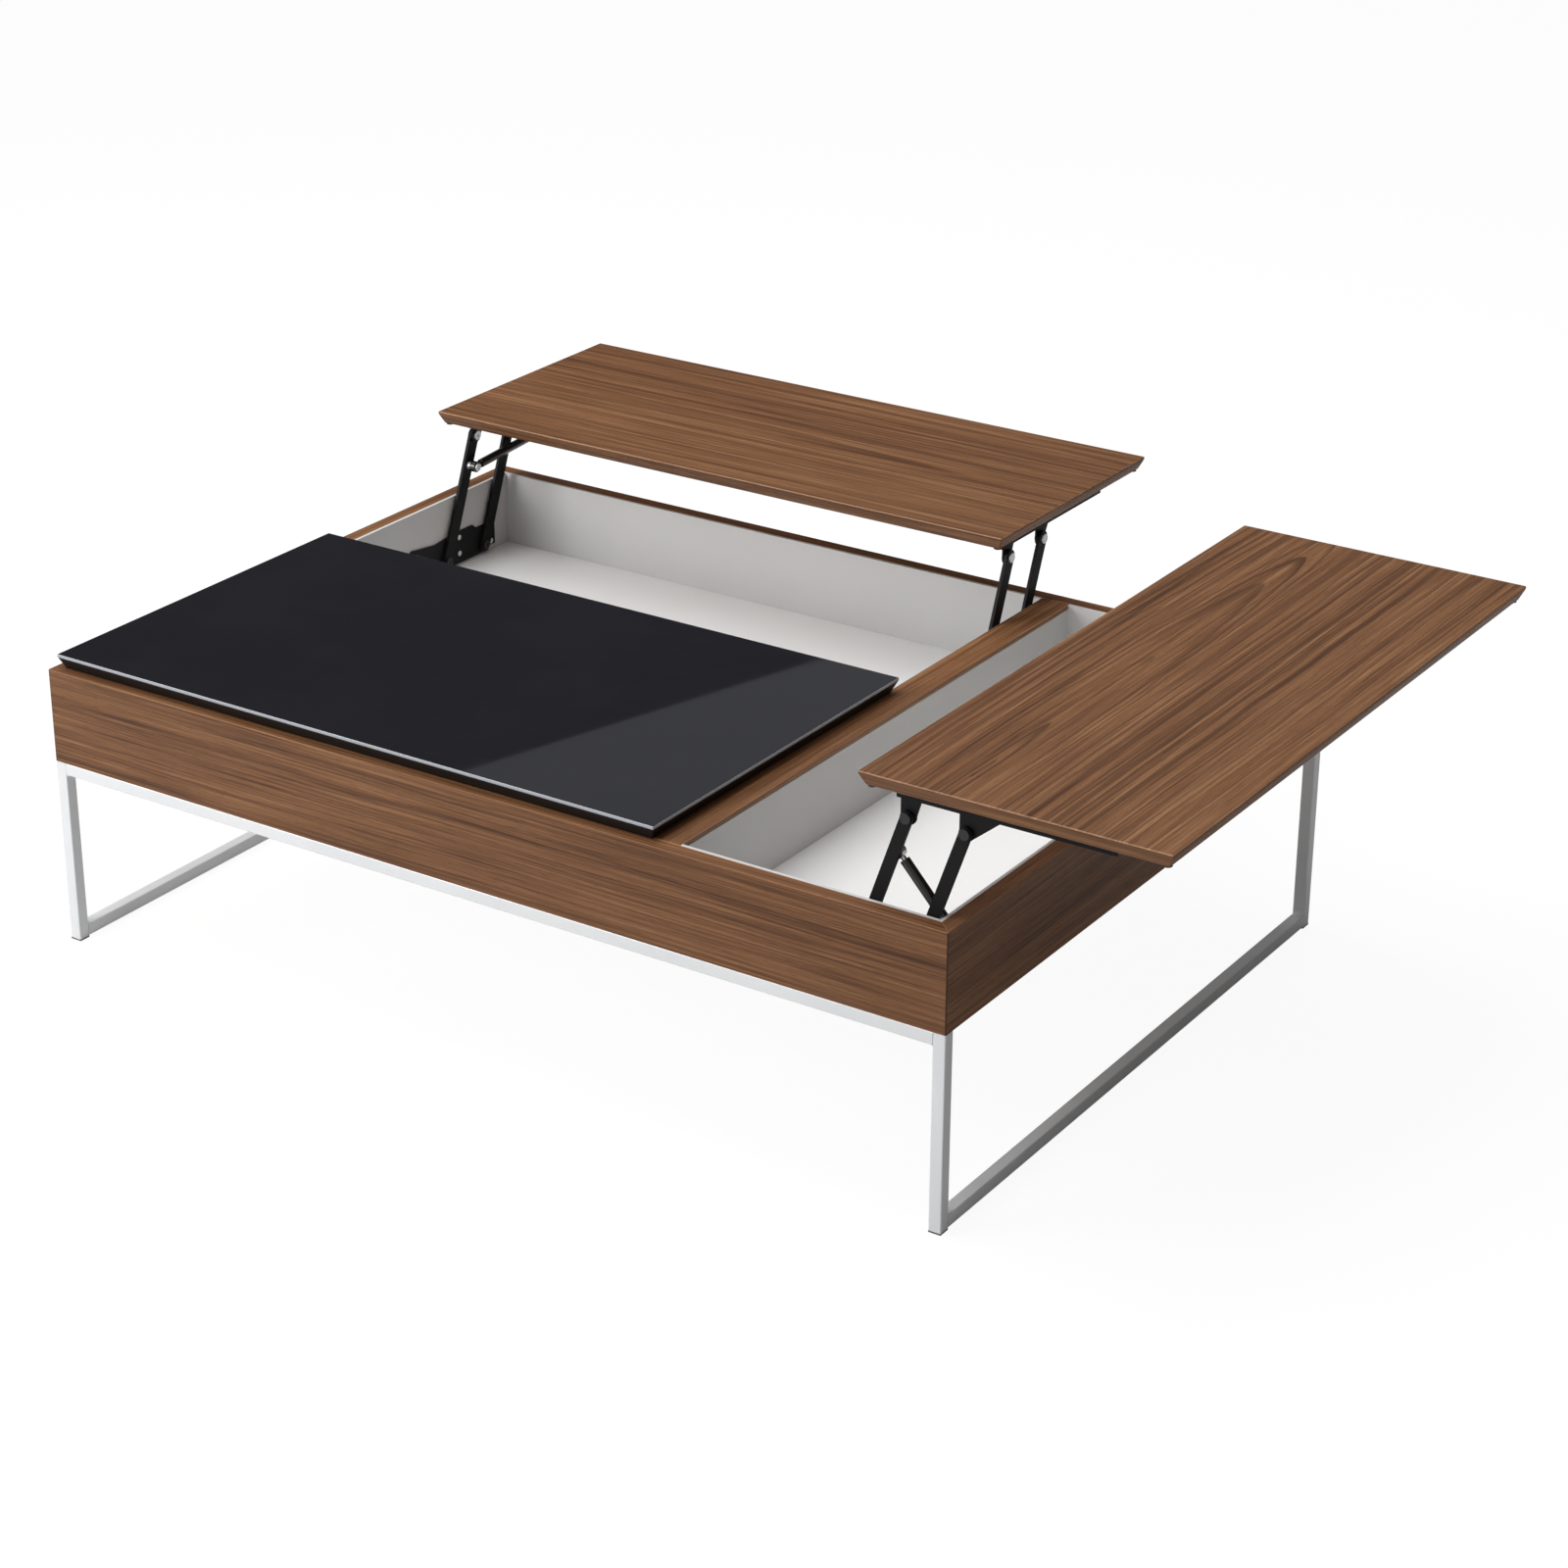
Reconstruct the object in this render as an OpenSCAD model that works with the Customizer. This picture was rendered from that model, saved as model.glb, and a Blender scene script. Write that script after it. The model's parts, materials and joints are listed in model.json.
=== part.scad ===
// Lift top coffee table: a low storage case on a square tube frame, with two tops that
// rise and swing outwards on parallel arms, and one fixed gloss top.
// Millimetres. X runs along the long side, Y from the front to the back, Z up from the floor.
// It is drawn with both tops raised, which is joint value 0.

/* [Case] */
// Length of the case along the front
case_w = 1200; // [1000:10:1450]
// Depth of the case, front to back
case_d = 850; // [780:10:1050]
// Height of the case walls
case_h = 114; // [95:1:140]
// Height of the underside of the case above the floor
base_h = 230; // [180:5:300]
// Thickness of the outer case boards
panel_t = 18; // [15:1:19]
// Thickness of the light lining inside the case boards
liner_t = 4; // [3:0.5:5]
// Thickness of the floor board
floor_t = 12; // [9:1:16]
// Height of the cleats that carry the floor board
cleat_h = 6; // [5:1:10]
// Width of each cleat under the floor board
cleat_w = 20; // [12:1:30]
// Gap where two cleats meet
cleat_gap = 1; // [0.5:0.5:3]
// Thickness of the upright divider between the two compartments
divider_w = 38; // [30:1:50]
// Thickness of the veneered cap along the divider
cap_t = 6; // [4:1:10]
// How far the divider reaches left of the right top
divider_reach = 14; // [10:1:18]
// Thickness of the rail under the joint between the fixed and the rear top
cross_rail_t = 24; // [20:1:30]
// How far that rail shows behind the fixed top
cross_rail_show = 4; // [2:1:6]
// Height of that rail
cross_rail_h = 40; // [30:1:60]
// Thickness of the loose splines in the mitred corners
spline_t = 3; // [2:0.5:4]
// Width of those splines
spline_w = 12; // [8:1:16]

/* [Tops] */
// Thickness of the two lifting tops
top_t = 16; // [14:1:20]
// Upright part of a top's edge
top_nose = 3; // [2:0.5:5]
// How far the rest of the edge is cut back underneath
top_undercut = 6; // [4:1:8]
// How far the tops stay back from the outside of the case
edge_gap = 8; // [4:1:10]
// Gap between neighbouring tops when they are down
joint_gap = 3; // [2:0.5:5]
// Width of the right top
right_top_w = 347; // [330:1:380]
// Depth of the rear top
rear_top_d = 352; // [340:1:390]
// Thickness of the glass on the fixed top
glass_t = 4; // [3:0.5:6]
// How far the board under the glass stays back from its edge
glass_lip = 1; // [0.5:0.5:3]
// Thickness of the cushions under the lifting tops
bumper_t = 1.7; // [1:0.1:3]
// Radius of those cushions
bumper_r = 5; // [4:0.5:8]
// Air left under the cushions when a top is down
bumper_clear = 0.3; // [0.3:0.1:0.5]

/* [Frame] */
// Side of the square tube
tube = 15; // [14:1:25]
// Wall of the square tube
tube_wall = 1.5; // [1.2:0.1:2]
// Thickness of the glides under the legs
glide_t = 2; // [1.5:0.5:4]
// Depth of the plug on top of each glide
glide_plug_h = 8; // [5:1:15]
// Number of screws through each top rail
rail_screws = 4; // [3:1:6]
// Distance from the leg to the first of those screws
rail_screw_inset = 50; // [40:5:100]

/* [Lift arms] */
// Thickness of the arms
arm_t = 4; // [3:0.5:5]
// Thickness of the base plates and of the rails under the tops
plate_t = 2.5; // [2:0.5:3]
// Diameter of the pivot pins
pin_d = 8; // [6:0.5:9]
// Diameter of the heads of the pivot pins
pin_head_d = 12; // [11:0.5:13]
// Thickness of those heads
pin_head_t = 2.2; // [1.5:0.1:3]
// Radial clearance of a running pin
pin_clear = 0.1; // [0.05:0.01:0.1]
// Gap between faces that slide past each other
side_clear = 0.5; // [0.3:0.1:0.8]
// Height of the lower pivots above the floor board
base_pivot_up = 14; // [13:0.5:18]
// Length of a wood screw's shank
screw_len = 13; // [10:1:14]
// Diameter of that shank
screw_d = 3.5; // [3:0.1:4]
// Diameter of the screw heads
screw_head_d = 7.5; // [6.5:0.1:8]
// Clearance round a screw in its pilot hole
screw_clear = 0.05; // [0.03:0.01:0.1]

/* [Rear lift] */
// How far the rear top swings back
rear_shift = 220; // [200:1:235]
// How far the rear top rises
rear_lift = 97; // [85:1:110]
// Width of the rear arms
rear_arm_w = 18; // [16:0.5:20]
// Distance between the front and the back arm
rear_spacing = 78; // [72:1:84]
// Depth of the pivots below the rear top
rear_pivot_drop = 25; // [22:1:30]
// Distance of the front pivot from the rear top's front edge
rear_pivot_in = 48; // [46:1:54]
// Length of the rails under the rear top
rear_rail_l = 240; // [200:1:250]
// Distance of the strut's stud from the arm's upper pivot
rear_stud_drop = 40; // [32:1:50]
// Distance of the strut's bracket behind the front pivot
rear_strut_reach = 250; // [220:1:255]
// Depth of the strut's far pivot below the rear top
rear_strut_drop = 46; // [42:1:50]

/* [Right lift] */
// How far the right top swings out
right_shift = 243; // [225:1:255]
// How far the right top rises
right_lift = 125; // [115:1:135]
// Width of the right arms
right_arm_w = 14; // [13:0.5:15]
// Distance between the inner and the outer arm
right_spacing = 67; // [64:1:72]
// Depth of the pivots below the right top
right_pivot_drop = 30; // [28:1:34]
// Distance of the inner pivot from the right top's inner edge
right_pivot_in = 46; // [44:1:50]
// Length of the rails under the right top
right_rail_l = 245; // [200:1:255]
// Distance of the upper stud from the inner arm's upper pivot
right_stud_drop = 48; // [42:1:56]
// Distance of the lower stud from the outer arm's lower pivot
right_stud_up = 85; // [75:1:95]

/* [Struts] */
// Diameter of a strut's cylinder
barrel_d = 11; // [10:0.5:12]
// Wall of the cylinder
barrel_wall = 1.4; // [1:0.1:1.8]
// Diameter of a strut's rod
rod_d = 6; // [5:0.5:6.5]
// Diameter of the studs that carry the struts
stud_d = 6; // [5:0.5:6.5]
// Radius of the eye at a strut's end
eye_r = 7; // [6:0.5:8]
// Thickness of that eye
eye_t = 8; // [7:0.5:9]
// Distance of a strut's middle plane from the case wall
strut_v = 17; // [16:0.5:20]
// Length of the gland that guides the rod
gland_l = 4; // [3:0.5:6]
// Length of the piston on the rod's hidden end
piston_l = 4; // [3:0.5:6]

/* [Hidden] */
$fn = 48;

walnut = [0.42, 0.27, 0.17];
lining = [0.80, 0.80, 0.79];
gloss_black = [0.08, 0.08, 0.10];
steel_black = [0.10, 0.10, 0.11];
silver = [0.74, 0.75, 0.76];
zinc = [0.80, 0.81, 0.82];
rubber = [0.25, 0.25, 0.26];
birch = [0.76, 0.65, 0.48];

eps = 0.01;            // overshoot of a cut past a face
wall_t = panel_t + liner_t;
rim_z = base_h + case_h;
floor_z0 = base_h + cleat_h;
floor_z = floor_z0 + floor_t;
rest_gap = bumper_t + bumper_clear;
closed_z = rim_z + rest_gap;   // underside of a lifting top when it is down

right_x0 = case_w - edge_gap - right_top_w;      // right top, down
rear_y0 = case_d - edge_gap - rear_top_d;        // rear top, down
left_x1 = right_x0 - joint_gap;                  // right edge of the fixed and the rear top
fixed_y1 = rear_y0 - joint_gap;                  // back edge of the fixed top
divider_x0 = right_x0 - divider_reach;
divider_x1 = divider_x0 + divider_w;
cross_rail_y0 = fixed_y1 + cross_rail_show - cross_rail_t;
fixed_top_z = closed_z + top_t;                  // all three tops lie level when down

// The origin is the middle of the footprint with both tops raised, on the floor.
origin_x = (case_w - edge_gap + right_shift) / 2;
origin_y = (case_d - edge_gap + rear_shift) / 2;

// Lift geometry in a plane: u along the swing, z up.
function arm_run(shift, lift, rise) = (shift * shift + lift * lift - 2 * lift * rise) / (2 * shift);
base_pivot_z = floor_z + base_pivot_up;

rear_top_z = closed_z + rear_lift;               // underside, raised
rear_pivot_z = rear_top_z - rear_pivot_drop;
rear_pivot_u = rear_y0 + rear_shift + rear_pivot_in;
rear_rise = rear_pivot_z - base_pivot_z;
rear_run = arm_run(rear_shift, rear_lift, rear_rise);
rear_arm_l = sqrt(rear_run * rear_run + rear_rise * rear_rise);
rear_base_u = rear_pivot_u - rear_run;

right_top_z = closed_z + right_lift;
right_pivot_z = right_top_z - right_pivot_drop;
right_pivot_u = right_x0 + right_shift + right_pivot_in;
right_rise = right_pivot_z - base_pivot_z;
right_run = arm_run(right_shift, right_lift, right_rise);
right_arm_l = sqrt(right_run * right_run + right_rise * right_rise);
right_base_u = right_pivot_u - right_run;

// Places across the mechanism, measured from the case wall: base plate, arm, then the top's rail.
arm_v = plate_t + side_clear;
arm_v1 = arm_v + arm_t;
rail_v = arm_v1 + side_clear;
rail_v1 = rail_v + plate_t;
wall_air = 0.6;                                  // between the wall and the flat heads of the top's pins
arm_end_swell = 0.4;                             // how far an arm's round ends stand out past its sides
strut_v0 = strut_v - eye_t / 2;
strut_v1 = strut_v + eye_t / 2;

// Rear strut: stud on the front arm, bracket under the top. Each point is [u, z].
rear_stud = [rear_pivot_u - rear_stud_drop * rear_run / rear_arm_l,
             rear_pivot_z - rear_stud_drop * rear_rise / rear_arm_l];
rear_far = [rear_pivot_u + rear_strut_reach, rear_top_z - rear_strut_drop];
rear_strut_l = norm(rear_far - rear_stud);
rear_stud_down = [rear_base_u + (rear_arm_l - rear_stud_drop) * (rear_run - rear_shift) / rear_arm_l,
                  base_pivot_z + (rear_arm_l - rear_stud_drop) * (rear_rise - rear_lift) / rear_arm_l];
rear_strut_short = norm(rear_far - [rear_shift, rear_lift] - rear_stud_down);

// Right strut: lower stud on the outer arm, upper end at the inner arm.
right_high = [right_pivot_u - right_stud_drop * right_run / right_arm_l,
              right_pivot_z - right_stud_drop * right_rise / right_arm_l];
right_low = [right_base_u + right_spacing + right_stud_up * right_run / right_arm_l,
             base_pivot_z + right_stud_up * right_rise / right_arm_l];
right_strut_l = norm(right_high - right_low);
right_down_u = (right_run - right_shift) / right_arm_l;
right_down_z = (right_rise - right_lift) / right_arm_l;
right_high_down = [right_base_u + (right_arm_l - right_stud_drop) * right_down_u,
                   base_pivot_z + (right_arm_l - right_stud_drop) * right_down_z];
right_low_down = [right_base_u + right_spacing + right_stud_up * right_down_u,
                  base_pivot_z + right_stud_up * right_down_z];
right_strut_long = norm(right_high_down - right_low_down);

// Outline of a base plate, measured from its first pivot.
rear_ear_reach = 66;
right_ear_reach = 48;
ear_up = 26;
ear_r = 8;
ear_corner = [-0.5, -0.85] * ear_r;    // where the lower edge leaves the ear
plate_down = 11;
plate_up = 32;
heel_reach = 14;       // start of the level lower edge
shoulder = [-20, 28];  // where the slope from the ear ends
crest_lead = 12;       // distance of the raised edge from each pivot
crest_slope = 8;
tail_reach = 25;
tail_w = 14;
tail_gap = 6;
// Screws of a base plate: the ear, two between the pivots, two in the tail.
body_screw_share = 0.37;
body_screw_up = [2, 24];
tail_screw_up = [-1, 24];
function plate_screw_points(spacing, ear) = concat(
    [[-ear, ear_up]],
    [for (z = body_screw_up) [spacing * body_screw_share, z]],
    [for (z = tail_screw_up) [spacing + tail_reach - tail_w / 2, z]]
);

// Rails under the tops.
rail_w = 24;
rail_h = 12;
rail_lead = 14;        // how far a rail reaches past its first pivot
rail_screw_v = 15;     // from a rail's upright face to its screws
rail_screw_shares = [0.16, 0.5, 0.86];
lug_r = 9;
lug_corner = [0.75, -0.66] * lug_r;    // where the slanted edge leaves a lug's round end
first_lug_heel = 14;   // how far a lug's slanted edge leans out
rear_lug_heel = 18;
right_lug_heel = 36;
function rail_screw_u(first, length) = [for (k = rail_screw_shares) first - rail_lead + length * k];

// Screws and studs.
screw_cover = 4;       // wood left over the tip of a screw
screw_tip = 1;         // a pilot hole's depth past the tip
round_head_t = 2;
socket_t = 1.2;        // depth of the hexagon socket in a round head
rail_bite = top_t - screw_cover;
stud_lip = 2;          // how far a stud's collar and head stand out
stud_head_t = 2;

// Struts.
strut_neck = 5;        // between the eye and the cylinder
barrel_floor = 2;
piston_room = 2;       // between the piston and the gland, pulled out
rod_show = 3;          // rod left in sight, pushed in
rear_mouth = rear_strut_short - eye_r - rod_show;    // open end of the rear strut's cylinder
eye_bite = 1;          // how far a rod goes into its eye
eye_boss = 1;          // height of the boss on the rear strut's far eye
barrel_tail = 0.5;     // how far the right strut's cylinder reaches past its lug
lug_bite = 0.8;        // how far that lug goes into the cylinder
stud_floor = 0.3;      // wall between the lug's bore and the cylinder
stud_air = 0.2;        // at the end of the short stud
bracket_w = 20;
bracket_reach = 18;    // half of the bracket's length

// ---------- shared shapes ----------

// Puts the table's own corner-based coordinates about the origin.
module table_frame() {
    translate([-origin_x, -origin_y, 0])
        children();
}

module block(x0, x1, y0, y1, z0, z1) {
    translate([x0, y0, z0])
        cube([x1 - x0, y1 - y0, z1 - z0]);
}

// A case board with both ends cut at 45 degrees; it runs along X with its outside at y = 0.
module mitred_board(length) {
    linear_extrude(case_h)
        polygon([[0, 0], [length, 0], [length - panel_t, panel_t], [panel_t, panel_t]]);
}

// Slots for the splines at the two front corners of a case that is w long.
module spline_slots(w) {
    for (side = [0, 1])
        translate([side * w, 0, 0])
            mirror([side, 0, 0])
                spline(spline_t + 2 * screw_clear, spline_w + 2 * screw_clear, screw_clear);
}

// One spline, centred in the mitre of the corner at the origin.
module spline(thick, wide, extra) {
    translate([panel_t / 2, panel_t / 2, case_h / 2])
        rotate([0, 0, 135])
            cube([wide, thick, case_h - 2 * spline_w + 2 * extra], center = true);
}

// A top board: upright nose, then cut back underneath all round.
module bevelled_board(x0, x1, y0, y1, z0, z1, nose, under) {
    intersection() {
        translate([0, y1, 0])
            rotate([90, 0, 0])
                linear_extrude(y1 - y0)
                    board_profile(x0, x1, z0, z1, nose, under);
        translate([x0, 0, 0])
            rotate([90, 0, 90])
                linear_extrude(x1 - x0)
                    board_profile(y0, y1, z0, z1, nose, under);
    }
}

module board_profile(a0, a1, z0, z1, nose, under) {
    polygon([[a0, z1], [a1, z1], [a1, z1 - nose], [a1 - under, z0], [a0 + under, z0], [a0, z1 - nose]]);
}

// Square tube between two corners; the bore runs along the axis given by 0, 1 or 2.
module square_tube(size, axis) {
    inner = [for (k = [0:2]) k == axis ? size[k] + 2 * eps : size[k] - 2 * tube_wall];
    start = [for (k = [0:2]) k == axis ? -eps : tube_wall];
    difference() {
        cube(size);
        translate(start)
            cube(inner);
    }
}

// Round bar across the mechanism, from v0 to v1 off the wall.
module cross_bar(at, r, v0, v1) {
    translate([v0, at[0], at[1]])
        rotate([0, 90, 0])
            cylinder(h = v1 - v0, r = r);
}

// Flat shape in the plane of the mechanism, from v0 off the wall.
module flat_plate(points, v0, t) {
    translate([v0, 0, 0])
        rotate([90, 0, 90])
            linear_extrude(t)
                polygon(points);
}

// Flat bar with round ends between two points, bored for a pin at each.
module arm(from, to, w) {
    length = norm(to - from);
    along(from, to)
        translate([arm_v, 0, 0])
            difference() {
                union() {
                    translate([0, 0, -w / 2])
                        cube([arm_t, length, w]);
                    for (u = [0, length])
                        cross_bar([u, 0], w / 2 + arm_end_swell, 0, arm_t);
                }
                for (u = [0, length])
                    cross_bar([u, 0], pin_d / 2 + pin_clear, -eps, arm_t + eps);
            }
}

// Riveted pin of a base plate: collar, shaft and head.
module base_pin(at) {
    cross_bar(at, pin_d / 2, plate_t, arm_v1 + side_clear / 2 + eps);
    cross_bar(at, pin_head_d / 2, plate_t, arm_v - side_clear / 2);
    socket_head(at, arm_v1 + side_clear / 2);
}

// Riveted pin of a top's lug: flat head beside the wall, shaft, collar and head.
module top_pin(at) {
    cross_bar(at, pin_head_d / 2, wall_air, arm_v - side_clear / 2);
    cross_bar(at, pin_d / 2, arm_v - side_clear / 2 - eps, rail_v1 + eps);
    cross_bar(at, pin_head_d / 2, arm_v1 + side_clear / 2, rail_v);
    socket_head(at, rail_v1);
}

// Pin head with a hexagon socket.
module socket_head(at, v) {
    difference() {
        cross_bar(at, pin_head_d / 2, v, v + pin_head_t);
        translate([v + pin_head_t / 2, at[0], at[1]])
            rotate([0, 90, 0])
                cylinder(h = pin_head_t, d = pin_d / 2, $fn = 6);
    }
}

// The two ends of each lift: the children are drawn at the first wall and mirrored at the second.
module rear_sides() {
    rear_left_side()
        children();
    rear_right_side()
        children();
}

module rear_left_side() {
    translate([wall_t, 0, 0])
        children();
}

module rear_right_side() {
    translate([divider_x0, 0, 0])
        mirror([1, 0, 0])
            children();
}

module right_sides() {
    right_front_side()
        children();
    right_back_side()
        children();
}

module right_front_side() {
    translate([0, wall_t, 0])
        mirror([1, -1, 0])
            children();
}

module right_back_side() {
    translate([0, case_d - wall_t, 0])
        mirror([0, 1, 0])
            mirror([1, -1, 0])
                children();
}

// Base plate: pointed ear, body round both pivots and an upright tail.
module base_plate(at, spacing, ear) {
    tail = spacing + tail_reach;
    points = [
        [-ear, ear_up] + ear_corner, [-heel_reach, -plate_down],
        [tail - tail_w, -plate_down], [tail - tail_w, -tail_gap], [tail, -tail_gap],
        [tail, plate_up], [tail - tail_w, plate_up], [tail - tail_w, plate_up - tail_gap],
        [spacing - crest_lead, plate_up - tail_gap],
        [spacing - crest_lead - crest_slope, plate_up],
        [crest_lead, plate_up], shoulder, [-ear, ear_up + ear_r]
    ];
    translate([0, at[0], at[1]])
        difference() {
            union() {
                flat_plate(points, 0, plate_t);
                cross_bar([-ear, ear_up], ear_r, 0, plate_t);
            }
            for (p = plate_screw_points(spacing, ear)) {
                cross_bar(p, screw_d / 2 + screw_clear, -eps, plate_t + eps);
                screw_cone(p, eps, screw_clear);
            }
        }
}

// Cone of a countersunk head, proud of the plate by the overshoot and wider by the gap.
module screw_cone(at, over, gap) {
    translate([plate_t - screw_d / 2, at[0], at[1]])
        rotate([0, 90, 0])
            cylinder(h = screw_d / 2 + over, r1 = screw_d / 2 + gap, r2 = screw_head_d / 2 + gap);
}

// Countersunk wood screws of one base plate.
module base_plate_screws(at, spacing, ear) {
    translate([0, at[0], at[1]])
        for (p = plate_screw_points(spacing, ear)) {
            cross_bar(p, screw_d / 2, -screw_len, plate_t - screw_d / 2 + eps);
            screw_cone(p, 0, 0);
        }
}

// Pilot holes for those screws, deep enough for the boards behind the plate.
module base_plate_pilots(at, spacing, ear) {
    translate([0, at[0], at[1]])
        for (p = plate_screw_points(spacing, ear))
            cross_bar(p, screw_d / 2 + screw_clear, -screw_len - screw_tip, eps);
}

module rear_pilots() {
    base_plate_pilots([rear_base_u, base_pivot_z], rear_spacing, rear_ear_reach);
}

module right_pilots() {
    base_plate_pilots([right_base_u, base_pivot_z], right_spacing, right_ear_reach);
}

// Angle rail under a top with a lug for each pivot; heel is how far the last lug leans out.
module top_rail(first, spacing, z_under, length, heel) {
    drop = z_under - first[1];
    difference() {
        union() {
            translate([rail_v, first[0] - rail_lead, z_under - plate_t])
                cube([rail_w, length, plate_t]);
            translate([rail_v, first[0] - rail_lead, z_under - rail_h])
                cube([plate_t, length, rail_h]);
            lug(first, drop, first_lug_heel);
            lug(first + [spacing, 0], drop, heel);
        }
        for (u = [0, spacing])
            cross_bar(first + [u, 0], pin_d / 2 + screw_clear, rail_v - eps, rail_v1 + eps);
        for (u = rail_screw_u(first[0], length))
            translate([rail_v + rail_screw_v, u, z_under - plate_t - eps])
                cylinder(h = plate_t + 2 * eps, d = screw_d + 2 * screw_clear);
    }
}

module lug(at, drop, heel) {
    cross_bar(at, lug_r, rail_v, rail_v1);
    flat_plate([
        at + [-lug_r, drop], at + [-lug_r, 0], at + lug_corner,
        at + [heel, drop - rail_h], at + [heel, drop]
    ], rail_v, plate_t);
}

// Round headed screws up through a rail into its top.
module rail_screw_set(first, z_under, length) {
    for (u = rail_screw_u(first, length))
        translate([rail_v + rail_screw_v, u, z_under]) {
            translate([0, 0, -plate_t - eps])
                cylinder(h = plate_t + rail_bite, d = screw_d);
            translate([0, 0, -plate_t - round_head_t])
                difference() {
                    cylinder(h = round_head_t, d = screw_head_d);
                    translate([0, 0, -eps])
                        cylinder(h = socket_t, d = screw_d, $fn = 6);
                }
        }
}

module rail_pilots(first, z_under, length) {
    for (u = rail_screw_u(first, length))
        translate([rail_v + rail_screw_v, u, z_under - eps])
            cylinder(h = rail_bite + 2 * eps, d = screw_d + 2 * screw_clear);
}

// Turns the children, drawn along +Y from the origin, to run from one point towards another.
module along(from, to) {
    translate([0, from[0], from[1]])
        rotate([atan2(to[1] - from[1], to[0] - from[0]), 0, 0])
            children();
}

// Round bar along the strut, from u0 to u1.
module long_bar(r, u0, u1) {
    translate([strut_v, u0, 0])
        rotate([-90, 0, 0])
            cylinder(h = u1 - u0, r = r);
}

// Hollow cylinder of a strut, closed at u0 and with a gland at u1.
module barrel(u0, u1) {
    bore_r = barrel_d / 2 - barrel_wall;
    difference() {
        long_bar(barrel_d / 2, u0, u1);
        long_bar(bore_r, u0 + barrel_floor, u1 - gland_l);
        long_bar(rod_d / 2 + pin_clear, u1 - gland_l - eps, u1 + eps);
    }
}

// Rod with its piston: mouth is the cylinder's open end and tip the eye's middle.
module rod(mouth, tip) {
    hidden = mouth - gland_l - piston_room - piston_l;
    long_bar(barrel_d / 2 - barrel_wall - pin_clear, hidden, hidden + piston_l);
    long_bar(rod_d / 2, hidden + piston_l - eps, tip - eye_r + eye_bite);
    cross_bar([tip, 0], eye_r, strut_v0, strut_v1);
}

// A cushion near each corner of a top's underside.
module bumpers(x0, x1, y0, y1, z) {
    inset = top_undercut + bumper_r;
    for (x = [x0 + inset, x1 - inset], y = [y0 + inset, y1 - inset])
        translate([x, y, z - bumper_t])
            cylinder(h = bumper_t, r = bumper_r);
}

// ---------- case ----------

module front_panel() {
    color(walnut)
        table_frame()
            difference() {
                translate([0, 0, base_h])
                    difference() {
                        mitred_board(case_w);
                        spline_slots(case_w);
                    }
                right_front_side()
                    right_pilots();
                frame_screw_pilots(tube / 2);
            }
}

module back_panel() {
    color(walnut)
        table_frame()
            difference() {
                translate([0, case_d, base_h])
                    mirror([0, 1, 0])
                        difference() {
                            mitred_board(case_w);
                            spline_slots(case_w);
                        }
                right_back_side()
                    right_pilots();
                frame_screw_pilots(case_d - tube / 2);
            }
}

module left_panel() {
    color(walnut)
        table_frame()
            difference() {
                translate([0, 0, base_h])
                    mirror([1, -1, 0])
                        difference() {
                            mitred_board(case_d);
                            spline_slots(case_d);
                        }
                rear_left_side()
                    rear_pilots();
            }
}

module right_panel() {
    color(walnut)
        table_frame()
            translate([case_w, 0, base_h])
                rotate([0, 0, 90])
                    difference() {
                        mitred_board(case_d);
                        spline_slots(case_d);
                    }
}

module corner_splines() {
    color(birch)
        table_frame()
            for (sx = [0, 1], sy = [0, 1])
                translate([sx * case_w, sy * case_d, base_h])
                    mirror([sx, 0, 0])
                        mirror([0, sy, 0])
                            spline(spline_t, spline_w, 0);
}

module bay_liner_front() {
    color(lining)
        table_frame()
            block(wall_t, divider_x0, panel_t, wall_t, floor_z, rim_z);
}

module bay_liner_left() {
    color(lining)
        table_frame()
            difference() {
                block(panel_t, wall_t, panel_t, case_d - panel_t, floor_z, rim_z);
                rear_left_side()
                    rear_pilots();
            }
}

module bay_liner_back() {
    color(lining)
        table_frame()
            block(wall_t, divider_x0, case_d - wall_t, case_d - panel_t, floor_z, rim_z);
}

module box_liner_front() {
    color(lining)
        table_frame()
            difference() {
                block(divider_x1, case_w - wall_t, panel_t, wall_t, floor_z, rim_z);
                right_front_side()
                    right_pilots();
            }
}

module box_liner_right() {
    color(lining)
        table_frame()
            block(case_w - wall_t, case_w - panel_t, panel_t, case_d - panel_t, floor_z, rim_z);
}

module box_liner_back() {
    color(lining)
        table_frame()
            difference() {
                block(divider_x1, case_w - wall_t, case_d - wall_t, case_d - panel_t, floor_z, rim_z);
                right_back_side()
                    right_pilots();
            }
}

module divider_left_board() {
    color(lining)
        table_frame()
            difference() {
                block(divider_x0, divider_x0 + divider_w / 2, panel_t, case_d - panel_t,
                      floor_z, rim_z - cap_t);
                rear_right_side()
                    rear_pilots();
            }
}

module divider_right_board() {
    color(lining)
        table_frame()
            block(divider_x0 + divider_w / 2, divider_x1, panel_t, case_d - panel_t,
                  floor_z, rim_z - cap_t);
}

module divider_cap() {
    color(walnut)
        table_frame()
            block(divider_x0, divider_x1, panel_t, case_d - panel_t, rim_z - cap_t, rim_z);
}

module bottom_panel() {
    color(lining)
        table_frame()
            block(panel_t, case_w - panel_t, panel_t, case_d - panel_t, floor_z0, floor_z);
}

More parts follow.
